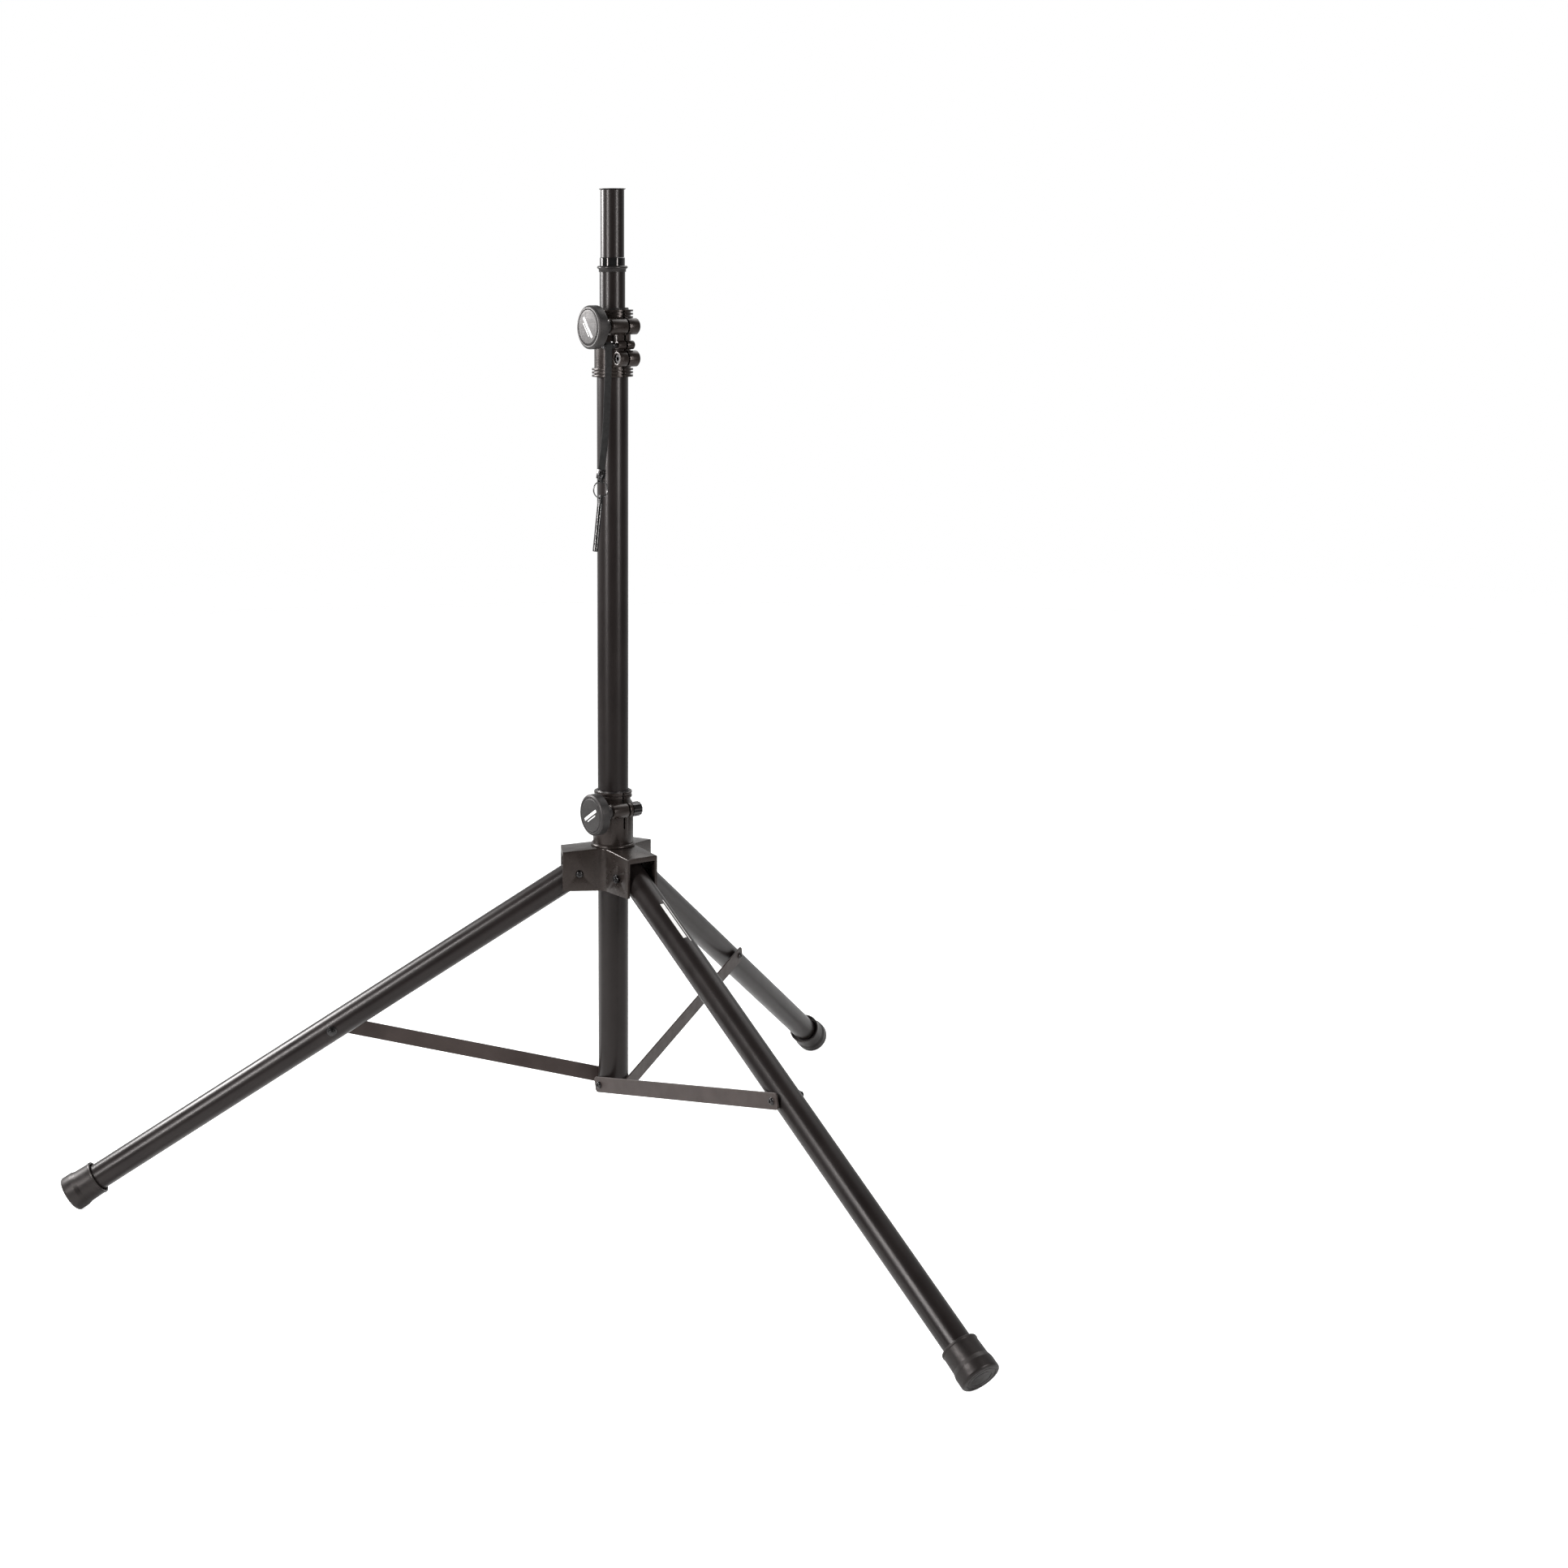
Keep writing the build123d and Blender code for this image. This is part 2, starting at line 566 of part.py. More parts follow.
with BuildPart() as hub_collar:
    revolve(
        turned(
            [
                (HUB_BORE_R, HUB_BOTTOM),
                (HUB_R, HUB_BOTTOM),
                (HUB_R, HUB_CLAMP_Z + BAND),
                (HUB_SHOULDER_R, HUB_CLAMP_Z + BAND + BAND_SLOPE),
                (NECK_R, HUB_CLAMP_Z + BAND + BAND_SLOPE + 1),
                (NECK_R, HUB_TOP - 3 * DISC),
                (DISC_R, HUB_TOP - 3 * DISC),
                (DISC_R, HUB_TOP - 2 * DISC),
                (NECK_R, HUB_TOP - 2 * DISC),
                (NECK_R, HUB_TOP - DISC),
                (DISC_R, HUB_TOP - DISC),
                (DISC_R, HUB_TOP),
                (HUB_BORE_R, HUB_TOP),
            ]
        ),
        axis=Axis.Z,
    )
    hub_boss = boss_outline(HUB_BOSS_R, BOSS_LEFT, HUB_BOSS_RIGHT, HUB_BOSS_Y, HUB_CLAMP_Z, BOSS_EDGE)
    revolve(hub_boss, axis=knob_axis(HUB_BOSS_Y, HUB_CLAMP_Z))
    revolve(tube_wall(0, HUB_BORE_R, HUB_BOTTOM, HUB_TOP), axis=Axis.Z, mode=Mode.SUBTRACT)
    hub_hole = disc_across(KNOB_BOLT_R + BOLT_CLEARANCE, BOSS_LEFT, HUB_BOSS_Y, HUB_CLAMP_Z)
    extrude(hub_hole, amount=HUB_BOSS_RIGHT - BOSS_LEFT, mode=Mode.SUBTRACT)
    nut_seat = disc_across(NUT_SEAT_R, HUB_BOSS_RIGHT, HUB_BOSS_Y, HUB_CLAMP_Z)
    extrude(nut_seat, amount=HUB_R, mode=Mode.SUBTRACT)
    with BuildSketch(Plane.XY.offset(HUB_SLIT_BOTTOM)) as slit:
        with Locations((0, HUB_BOSS_Y)):
            Rectangle(SLIT, 2 * (SLIT_INNER - HUB_BOSS_Y))
    extrude(slit.sketch, amount=HUB_TOP - HUB_SLIT_BOTTOM, mode=Mode.SUBTRACT)
save(hub_collar, "hub_collar")

HUB_LIP = 2.0
HUB_LIP_R = 26.5
mast_bore_r = MAST_R + RUNNING_FIT

with BuildPart() as hub_bush:
    revolve(
        turned(
            [
                (mast_bore_r, HUB_BOTTOM),
                (HUB_BORE_R, HUB_BOTTOM),
                (HUB_BORE_R, HUB_TOP),
                (HUB_LIP_R, HUB_TOP),
                (HUB_LIP_R - 1, HUB_TOP + HUB_LIP),
                (mast_bore_r, HUB_TOP + HUB_LIP),
            ]
        ),
        axis=Axis.Z,
    )
save(hub_bush, "hub_bush")

BASE_RING_R = 34.5
BASE_RING_EDGE = 2.0
HOUSING_BORE_R = MAST_R + 0.5

with BuildPart() as base_ring:
    revolve(
        turned(
            [
                (HOUSING_BORE_R, HOUSING_TOP),
                (BASE_RING_R, HOUSING_TOP),
                (BASE_RING_R, HUB_BOTTOM - BASE_RING_EDGE),
                (BASE_RING_R - BASE_RING_EDGE, HUB_BOTTOM),
                (HOUSING_BORE_R, HUB_BOTTOM),
            ]
        ),
        axis=Axis.Z,
    )
save(base_ring, "base_ring")

with BuildPart() as hub_clamp_nut:
    hub_nut_length = HUB_NUT_END - HUB_BOSS_RIGHT
    extrude(disc_across(HUB_NUT_R, HUB_BOSS_RIGHT, HUB_BOSS_Y, HUB_CLAMP_Z), amount=hub_nut_length)
    chamfer(faces().filter_by(Axis.X).edges(), length=HUB_NUT_EDGE)
    hub_thread = disc_across(KNOB_BOLT_R + RUNNING_FIT, HUB_BOSS_RIGHT, HUB_BOSS_Y, HUB_CLAMP_Z)
    extrude(hub_thread, amount=hub_nut_length, mode=Mode.SUBTRACT)
save(hub_clamp_nut, "hub_clamp_nut")

VALLEY_ROUND = 14.0
HOUSING_EDGE = 2.0
TOP_FLAT_R = 30.0
half_arm = ARM_WIDTH / 2

with BuildPart() as leg_housing:
    with BuildSketch(Plane.XY.offset(HOUSING_BOTTOM)) as y_shape:
        with PolarLocations(ARM_END / 2, 3, start_angle=AZIMUTHS[0]):
            Rectangle(ARM_END, ARM_WIDTH)
        fillet(y_shape.vertices().sort_by_distance((0, 0))[:3], radius=VALLEY_ROUND)
    extrude(amount=HOUSING_TOP - HOUSING_BOTTOM)
    corner_r = 2 * ARM_END
    over_arms = [(TOP_FLAT_R, HOUSING_TOP), (corner_r, HOUSING_TOP), (corner_r, ARM_TOP), (ARM_END, ARM_TOP)]
    revolve(turned(over_arms), axis=Axis.Z, mode=Mode.SUBTRACT)
    fillet([edge for edge in edges() if edge.center().Z > ARM_TOP - 1], radius=HOUSING_EDGE)
    with BuildSketch(Plane.XY.offset(HOUSING_BOTTOM)):
        Circle(HOUSING_BORE_R)
    extrude(amount=HOUSING_TOP - HOUSING_BOTTOM, mode=Mode.SUBTRACT)
    channel_length = ARM_END - CHANNEL_START + 2
    with BuildSketch(Plane.XY.offset(HOUSING_BOTTOM)):
        with PolarLocations(CHANNEL_START + channel_length / 2, 3, start_angle=AZIMUTHS[0]):
            Rectangle(channel_length, CHANNEL_WIDTH)
    extrude(amount=CHANNEL_TOP - HOUSING_BOTTOM, mode=Mode.SUBTRACT)
    for azimuth in AZIMUTHS:
        pivot_hole = side_disc(azimuth, -ARM_WIDTH, LEG_BOLT_R, PIVOT_RADIUS, PIVOT_Z)
        extrude(pivot_hole, amount=2 * ARM_WIDTH, mode=Mode.SUBTRACT)
save(leg_housing, "leg_housing")

LEG_NUT = 6.0
LEG_NUT_R = 7.0
BOLT_TIP = 2.0

with BuildPart() as leg_pivot_bolts:
    for azimuth in AZIMUTHS:
        shank = side_disc(azimuth, -half_arm, LEG_BOLT_R, PIVOT_RADIUS, PIVOT_Z)
        extrude(shank, amount=ARM_WIDTH + LEG_NUT + BOLT_TIP)
        head = side_disc(azimuth, -half_arm - BUTTON_HEAD, BUTTON_HEAD_R, PIVOT_RADIUS, PIVOT_Z)
        extrude(head, amount=BUTTON_HEAD)
save(leg_pivot_bolts, "leg_pivot_bolts")

with BuildPart() as leg_pivot_nuts:
    for azimuth in AZIMUTHS:
        with BuildSketch(side_plane(azimuth, half_arm)) as nut:
            with Locations((PIVOT_RADIUS, PIVOT_Z)):
                RegularPolygon(LEG_NUT_R, 6)
                Circle(LEG_BOLT_R, mode=Mode.SUBTRACT)
        extrude(nut.sketch, amount=LEG_NUT)
save(leg_pivot_nuts, "leg_pivot_nuts")

# ---- legs -------------------------------------------------------------------------------------------

LEG_PLUG_LENGTH = 46.0
SPACER_R = 8.0
STUD_NUT = 5.0
STUD_WASHER = 1.3
STUD_TIP = 2.0
STUD_END = LEG_R - 0.4
SPACER_START = LEG_R + BODY_GAP + 0.1
BAR_EDGE = 0.5

for number, azimuth in enumerate(AZIMUTHS, start=1):
    with BuildPart() as leg_tube:
        with BuildSketch(leg_section(azimuth, -LEG_BACK)) as tube_ring:
            Circle(LEG_R)
            Circle(LEG_R - LEG_WALL, mode=Mode.SUBTRACT)
        extrude(tube_ring.sketch, amount=tube_end + LEG_BACK)
        hinge_hole = side_disc(azimuth, -ARM_WIDTH, LEG_BOLT_R + RUNNING_FIT, PIVOT_RADIUS, PIVOT_Z)
        extrude(hinge_hole, amount=2 * ARM_WIDTH, mode=Mode.SUBTRACT)
        stud_hole = side_disc(azimuth, -ARM_WIDTH, BRACE_BOLT_R, brace_out, brace_up)
        extrude(stud_hole, amount=2 * ARM_WIDTH, mode=Mode.SUBTRACT)
    save(leg_tube, f"leg_tube_{number}")

    with BuildPart() as leg_plug:
        with BuildSketch(leg_section(azimuth, -LEG_BACK)) as plug_disc:
            Circle(LEG_R - LEG_WALL)
        extrude(plug_disc.sketch, amount=LEG_PLUG_LENGTH)
        hinge_hole = side_disc(azimuth, -ARM_WIDTH, LEG_BOLT_R + RUNNING_FIT, PIVOT_RADIUS, PIVOT_Z)
        extrude(hinge_hole, amount=2 * ARM_WIDTH, mode=Mode.SUBTRACT)
    save(leg_plug, f"leg_plug_{number}")

    with BuildPart() as foot_cap:
        with BuildSketch(leg_profile_plane(azimuth)) as cap_outline:
            with BuildLine():
                Polyline(
                    (CAP_START + CAP_MOUTH, LEG_R),
                    (CAP_START + CAP_MOUTH, CAP_MOUTH_R),
                    (CAP_START, CAP_MOUTH_R),
                    (CAP_START, CAP_LIP_WIDE_R),
                    (CAP_START + CAP_LIP_WIDE, CAP_LIP_WIDE_R),
                    (CAP_START + CAP_LIP_WIDE, CAP_RIM_R),
                    (foot_end - CAP_SHOULDER, CAP_RIM_R + 1),
                    (foot_end - CAP_BODY, CAP_R),
                    (foot_end - CAP_ROUND, CAP_R),
                )
                CenterArc((foot_end - CAP_ROUND, CAP_R - CAP_ROUND), CAP_ROUND, 0, 90)
                Polyline(
                    (foot_end, CAP_R - CAP_ROUND),
                    (foot_end, 0),
                    (tube_end, 0),
                    (tube_end, LEG_R),
                    (CAP_START + CAP_MOUTH, LEG_R),
                )
            make_face()
        revolve(cap_outline.sketch, axis=Axis(leg_pivot(azimuth), leg_direction(azimuth)))
    save(foot_cap, f"foot_cap_{number}")

    with BuildPart() as brace_stud:
        stud_start = LEG_R + STUD_WASHER + STUD_NUT + STUD_TIP
        stud = side_disc(azimuth, -stud_start, BRACE_BOLT_R, brace_out, brace_up)
        extrude(stud, amount=stud_start + STUD_END)
        washer = side_disc(azimuth, -LEG_R - STUD_WASHER, SPACER_R, brace_out, brace_up)
        extrude(washer, amount=STUD_WASHER)
        with BuildSketch(side_plane(azimuth, -LEG_R - STUD_WASHER - STUD_NUT)) as stud_nut:
            with Locations((brace_out, brace_up)):
                RegularPolygon(BUTTON_HEAD_R, 6)
        extrude(stud_nut.sketch, amount=STUD_NUT)
    save(brace_stud, f"brace_stud_{number}")

    with BuildPart() as brace_bar:
        with BuildSketch(side_plane(azimuth, BAR_SIDE)) as bar_outline:
            with Locations((brace_out / 2, (BRACE_FOOT_Z + brace_up) / 2)):
                bar_total = brace_length + 2 * BAR_PAST_BOLT
                RectangleRounded(bar_total, BAR_WIDE, BAR_CORNER, rotation=brace_angle)
        extrude(bar_outline.sketch, amount=BAR_THICK)
        chamfer(faces().sort_by(SortBy.AREA)[-2:].edges(), length=BAR_EDGE)
        pivot_hole = side_disc(azimuth, BAR_SIDE, BRACE_BOLT_R + RUNNING_FIT, 0, BRACE_FOOT_Z)
        extrude(pivot_hole, amount=BAR_THICK, mode=Mode.SUBTRACT)
        bolt_hole = side_disc(azimuth, BAR_SIDE, BRACE_BOLT_R, brace_out, brace_up)
        extrude(bolt_hole, amount=BAR_THICK, mode=Mode.SUBTRACT)
    save(brace_bar, f"brace_bar_{number}")

    with BuildPart() as brace_spacer:
        spacer_disc = side_disc(azimuth, SPACER_START, SPACER_R, brace_out, brace_up)
        extrude(spacer_disc, amount=BAR_SIDE - SPACER_START)
        spacer_hole = side_disc(azimuth, SPACER_START, BRACE_BOLT_R, brace_out, brace_up)
        extrude(spacer_hole, amount=BAR_SIDE - SPACER_START, mode=Mode.SUBTRACT)
    save(brace_spacer, f"brace_spacer_{number}")

    with BuildPart() as brace_bolt:
        shank = side_disc(azimuth, SPACER_START, BRACE_BOLT_R, brace_out, brace_up)
        extrude(shank, amount=bar_outside - SPACER_START)
        head = side_disc(azimuth, bar_outside, BUTTON_HEAD_R, brace_out, brace_up)
        extrude(head, amount=BUTTON_HEAD)
        with BuildSketch(side_plane(azimuth, bar_outside + BUTTON_HEAD)) as socket:
            with Locations((brace_out, brace_up)):
                RegularPolygon(SOCKET_R, 6)
        extrude(socket.sketch, amount=-SOCKET_DEEP, mode=Mode.SUBTRACT)
    save(brace_bolt, f"brace_bolt_{number}")

# ---- height shaft -----------------------------------------------------------------------------------

GLIDE_BOTTOM = 376.0
GLIDE_TOP = 416.0

with BuildPart() as shaft_glide:
    glide_r = MAST_R - MAST_WALL - RUNNING_FIT
    revolve(tube_wall(shaft_bore_r, glide_r, GLIDE_BOTTOM, GLIDE_TOP), axis=Axis.Z)
save(shaft_glide, "shaft_glide")

with BuildPart() as shaft_tube:
    revolve(tube_wall(SHAFT_R - SHAFT_WALL, SHAFT_R, SHAFT_BOTTOM, FLANGE_BOTTOM), axis=Axis.Z)
save(shaft_tube, "shaft_tube")

POLE_BOTTOM = 1340.0

with BuildPart() as pole_tube:
    revolve(
        turned(
            [
                (POLE_R - POLE_WALL, POLE_BOTTOM),
                (POLE_ROOT_R, POLE_BOTTOM),
                (POLE_ROOT_R, SLEEVE_TOP),
                (POLE_R, SLEEVE_TOP),
                (POLE_R, POLE_TOP),
                (POLE_R - POLE_WALL, POLE_TOP),
            ]
        ),
        axis=Axis.Z,
    )
save(pole_tube, "pole_tube")

FLANGE_R = 22.75
FLANGE_NECK_R = 20.2
FLANGE_EDGE = 1.5
DISC_BOTTOM = 1454.0
DISC_RIM_TOP = 1456.4

with BuildPart() as rest_flange:
    revolve(
        turned(
            [
                (POLE_ROOT_R, FLANGE_BOTTOM),
                (FLANGE_NECK_R, FLANGE_BOTTOM),
                (FLANGE_NECK_R, DISC_BOTTOM - 1),
                (FLANGE_R, DISC_BOTTOM + 1),
                (FLANGE_R, DISC_RIM_TOP),
                (FLANGE_R - FLANGE_EDGE, FLANGE_TOP),
                (POLE_ROOT_R, FLANGE_TOP),
            ]
        ),
        axis=Axis.Z,
    )
save(rest_flange, "rest_flange")

SLEEVE_R = 18.7
SLEEVE_EDGE = 0.8

with BuildPart() as pole_sleeve:
    revolve(
        turned(
            [
                (POLE_ROOT_R, FLANGE_TOP),
                (SLEEVE_R, FLANGE_TOP),
                (SLEEVE_R, SLEEVE_TOP - SLEEVE_EDGE),
                (SLEEVE_R - SLEEVE_EDGE, SLEEVE_TOP),
                (POLE_ROOT_R, SLEEVE_TOP),
            ]
        ),
        axis=Axis.Z,
    )
save(pole_sleeve, "pole_sleeve")

CAP_LIP_R = 19.6
CAP_LIP = 2.2
CAP_LIP_RIM = 0.6
CAP_PLUG = 20.0

with BuildPart() as pole_cap:
    cap_bottom = POLE_TOP + BODY_GAP
    plug_r = POLE_R - POLE_WALL - RUNNING_FIT
    revolve(
        turned(
            [
                (0, cap_bottom - CAP_PLUG),
                (plug_r - 1, cap_bottom - CAP_PLUG),
                (plug_r, cap_bottom - CAP_PLUG + 1),
                (plug_r, cap_bottom),
                (POLE_R, cap_bottom),
                (CAP_LIP_R, cap_bottom + 1),
                (CAP_LIP_R, cap_bottom + 1 + CAP_LIP_RIM),
                (CAP_LIP_R - 1, cap_bottom + CAP_LIP),
                (0, cap_bottom + CAP_LIP),
            ]
        ),
        axis=Axis.Z,
    )
save(pole_cap, "pole_cap")

# ---- knobs ------------------------------------------------------------------------------------------

KNOB_NECK_START = -BOSS_LEFT + BODY_GAP
KNOB_NECK_R = 9.0
KNOB_SHOULDER_R = 11.0
KNOB_ROUND = 3.0
CAP_EDGE = 3.0
CAP_DOME = 1.0
RECESS_FLOOR = KNOB_FACE - 2.0

KNOBS = (("upper", BOSS_Y, CLAMP_Z, 23.2), ("lower", HUB_BOSS_Y, HUB_CLAMP_Z, 22.0))

for name, across, height, bolt_tip in KNOBS:
    with BuildPart() as knob_body:
        outline = knob_outline(
            across,
            height,
            [
                (KNOB_NECK_START, KNOB_BOLT_R),
                (KNOB_NECK_START, KNOB_NECK_R),
                (KNOB_BACK - 1, KNOB_SHOULDER_R),
                (KNOB_BACK, KNOB_R - KNOB_ROUND),
                (KNOB_BACK + KNOB_ROUND, KNOB_R),
                (KNOB_FACE - KNOB_ROUND, KNOB_R),
                (KNOB_FACE, KNOB_R - KNOB_ROUND),
                (KNOB_FACE, KNOB_CAP_R),
                (RECESS_FLOOR, KNOB_CAP_R),
                (RECESS_FLOOR, KNOB_BOLT_R),
            ],
        )
        revolve(outline, axis=knob_axis(across, height))
    save(knob_body, f"{name}_knob_body")

    with BuildPart() as knob_cap:
        outline = knob_outline(
            across,
            height,
            [
                (RECESS_FLOOR, 0),
                (RECESS_FLOOR, KNOB_CAP_R),
                (KNOB_FACE - CAP_DOME / 4, KNOB_CAP_R),
                (KNOB_FACE + CAP_DOME / 2, KNOB_CAP_R - CAP_EDGE),
                (KNOB_FACE + CAP_DOME, 0),
            ],
        )
        revolve(outline, axis=knob_axis(across, height))
    save(knob_cap, f"{name}_knob_cap")

    with BuildPart() as knob_bolt:
        bolt = disc_across(KNOB_BOLT_R, bolt_tip, across, height)
        extrude(bolt, amount=-(bolt_tip + RECESS_FLOOR))
        chamfer(faces().sort_by(Axis.X)[-1].edges(), length=THREAD_END)
    save(knob_bolt, f"{name}_knob_bolt")
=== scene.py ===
import json
from math import cos, pi, radians, sin, tan

import bmesh
import bpy
from mathutils import Matrix, Vector


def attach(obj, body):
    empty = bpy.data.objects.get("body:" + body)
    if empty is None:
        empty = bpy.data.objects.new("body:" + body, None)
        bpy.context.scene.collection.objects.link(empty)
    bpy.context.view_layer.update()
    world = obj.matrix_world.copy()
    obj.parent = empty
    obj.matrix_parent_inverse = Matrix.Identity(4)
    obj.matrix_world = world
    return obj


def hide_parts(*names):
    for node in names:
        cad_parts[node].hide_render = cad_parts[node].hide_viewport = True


# A folding tripod stand for a loudspeaker, in metres, in the frame of its CAD model.

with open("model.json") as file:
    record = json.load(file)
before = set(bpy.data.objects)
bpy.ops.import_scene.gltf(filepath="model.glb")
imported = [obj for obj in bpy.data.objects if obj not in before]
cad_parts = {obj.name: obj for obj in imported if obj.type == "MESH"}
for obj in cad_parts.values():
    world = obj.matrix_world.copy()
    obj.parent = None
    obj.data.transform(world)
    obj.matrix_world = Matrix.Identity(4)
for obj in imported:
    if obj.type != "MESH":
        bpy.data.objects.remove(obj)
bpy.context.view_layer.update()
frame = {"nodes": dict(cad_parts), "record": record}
nodes = frame["nodes"]
slots = {part["node"]: part["material_slot"] for part in frame["record"]["subparts"]}
scene = bpy.context.scene
MM = 0.001

# ---- camera -----------------------------------------------------------------------------------------

CAMERA_AZIMUTH = radians(235.9)
CAMERA_DISTANCE = 3.817
CAMERA_HEIGHT = 1.4695
CAMERA_PITCH = 0.207
CAMERA_YAW = -0.033
CAMERA_ROLL = 0.008
LENS = 57.9
SHIFT_X = 0.161
SHIFT_Y = 0.0026


def polar(azimuth, radius, height):
    return Vector((cos(azimuth) * radius, sin(azimuth) * radius, height))


def add_camera():
    """A camera that stands at an azimuth from the mast and looks down at the stand, a little to its left."""
    inward = -polar(CAMERA_AZIMUTH, 1, 0)
    side = inward.cross(Vector((0, 0, 1)))
    level = inward * cos(CAMERA_YAW) + side * sin(CAMERA_YAW)
    forward = level * cos(CAMERA_PITCH) - Vector((0, 0, sin(CAMERA_PITCH)))
    right = forward.cross(Vector((0, 0, 1))).normalized()
    down = forward.cross(right)
    rolled = right * cos(CAMERA_ROLL) + down * sin(CAMERA_ROLL)
    up = rolled.cross(forward)
    data = bpy.data.cameras.new("camera")
    data.sensor_width = 36
    data.lens = LENS
    data.shift_x = SHIFT_X
    data.shift_y = SHIFT_Y
    data.clip_end = 60
    camera = bpy.data.objects.new("camera", data)
    turn = Matrix((rolled, up, -forward)).transposed().to_4x4()
    camera.matrix_world = Matrix.Translation(polar(CAMERA_AZIMUTH, CAMERA_DISTANCE, CAMERA_HEIGHT)) @ turn
    scene.collection.objects.link(camera)
    scene.camera = camera


add_camera()

# ---- node helpers -----------------------------------------------------------------------------------


class Shader:
    """A material's node tree, with short calls that add a node and link its inputs."""

    def __init__(self, name):
        self.material = bpy.data.materials.new(name)
        self.material.use_nodes = True
        self.tree = self.material.node_tree
        self.bsdf = self.tree.nodes["Principled BSDF"]
        self.coords = self.tree.nodes.new("ShaderNodeTexCoord").outputs["Object"]

    def add(self, kind, links=None, settings=None, **values):
        made = self.tree.nodes.new(kind)
        for key, value in (settings or {}).items():
            setattr(made, key, value)
        for key, value in values.items():
            made.inputs[key.replace("_", " ")].default_value = value
        for key, source in (links or {}).items():
            self.tree.links.new(source, made.inputs[key])
        return made

    def noise(self, scale, detail=3.0, roughness=0.5, stretch=(1, 1, 1)):
        mapping = self.add("ShaderNodeMapping", {"Vector": self.coords}, Scale=stretch)
        made = self.add("ShaderNodeTexNoise", {"Vector": mapping.outputs[0]}, Scale=scale, Detail=detail,
                        Roughness=roughness)
        return made.outputs["Fac"]

    def spots(self, scale):
        made = self.add("ShaderNodeTexVoronoi", {"Vector": self.coords}, Scale=scale)
        return made.outputs["Distance"]

    def ramp(self, source, low, high, to_low=0.0, to_high=1.0):
        links = {"Value": source}
        made = self.add("ShaderNodeMapRange", links, {"clamp": True})
        made.inputs["From Min"].default_value = low
        made.inputs["From Max"].default_value = high
        made.inputs["To Min"].default_value = to_low
        made.inputs["To Max"].default_value = to_high
        return made.outputs["Result"]

    def mix(self, share, first, second):
        made = self.add("ShaderNodeMix", {"Factor": share}, {"data_type": "RGBA"})
        for socket, value in ((made.inputs[6], first), (made.inputs[7], second)):
            if isinstance(value, tuple):
                socket.default_value = (*value, 1)
            else:
                self.tree.links.new(value, socket)
        return made.outputs[2]

    def math(self, operation, first, second=None):
        made = self.add("ShaderNodeMath", None, {"operation": operation})
        for socket, value in zip(made.inputs, (first, second)):
            if isinstance(value, (int, float)):
                socket.default_value = value
            elif value is not None:
                self.tree.links.new(value, socket)
        return made.outputs[0]

    def highlight_and_wear_edges(self, radius):
        """1 on sharp outer edges and 0 elsewhere: the mask of the lighter edges that the paints have, a
        painted edge highlight and partly wear.
        """
        bevel = self.add("ShaderNodeBevel", None, {"samples": 4}, Radius=radius)
        normal = self.add("ShaderNodeNewGeometry").outputs["Normal"]
        dot = self.add("ShaderNodeVectorMath", None, {"operation": "DOT_PRODUCT"})
        self.tree.links.new(bevel.outputs[0], dot.inputs[0])
        self.tree.links.new(normal, dot.inputs[1])
        return self.ramp(dot.outputs["Value"], 0.995, 0.9)

    def within(self, center, direction, half, soft=0.0002):
        """1 within a distance of a plane through the center, across the direction, and 0 beyond it."""
        offset = self.add("ShaderNodeVectorMath", {0: self.coords}, {"operation": "SUBTRACT"})
        offset.inputs[1].default_value = center
        dot = self.add("ShaderNodeVectorMath", {0: offset.outputs[0]}, {"operation": "DOT_PRODUCT"})
        dot.inputs[1].default_value = direction
        return self.ramp(self.math("ABSOLUTE", dot.outputs["Value"]), half + soft, half - soft)

    def bump(self, height, distance, strength=1.0, after=None):
        links = {"Height": height}
        if after is not None:
            links["Normal"] = after
        made = self.add("ShaderNodeBump", links, Distance=distance, Strength=strength)
        return made.outputs["Normal"]

    def finish(self, color=None, roughness=None, normal=None, **values):
        for name, source in (("Base Color", color), ("Roughness", roughness), ("Normal", normal)):
            if source is not None:
                self.tree.links.new(source, self.bsdf.inputs[name])
        for key, value in values.items():
            self.bsdf.inputs[key.replace("_", " ")].default_value = value
        return self.material


# ---- materials --------------------------------------------------------------------------------------


PRINT = (0.80, 0.79, 0.78)


def printed(s, color, marks):
    """A paint color with plain printed bars on it, worn thin in places. A mark is its center, its two
    directions and its two half sizes, and the way it faces."""
    ink = s.ramp(s.noise(700, 3, 0.7), 0.30, 0.42, 0.35, 1.0)
    for center, along, across, half_long, half_wide, facing in marks:
        there = s.math("MULTIPLY", s.within(center, along, half_long), s.within(center, across, half_wide))
        there = s.math("MULTIPLY", there, s.within(center, facing, 0.008))
        color = s.mix(s.math("MULTIPLY", there, ink), color, PRINT)
    return color


def tube_paint(name="tube_paint", marks=()):
    """Satin black powder coat with a warm tint, a faint orange peel and fine specks."""
    s = Shader(name)
    cloud = s.noise(14, 4)
    tone = s.mix(s.ramp(cloud, 0.35, 0.65), (0.0085, 0.0064, 0.0061), (0.0125, 0.0098, 0.0093))
    specks = s.ramp(s.spots(260), 0.10, 0.02)
    color = s.mix(s.math("MULTIPLY", specks, 0.3), tone, (0.034, 0.026, 0.023))
    streaks = s.noise(40, 3, 0.6, (1, 1, 0.08))
    roughness = s.ramp(streaks, 0.3, 0.7, 0.28, 0.33)
    peel = s.bump(s.noise(520, 2), 0.0000015)
    return s.finish(printed(s, color, marks), roughness, peel, Specular_IOR_Level=0.28,
                    Specular_Tint=(1.0, 0.95, 0.94, 1))


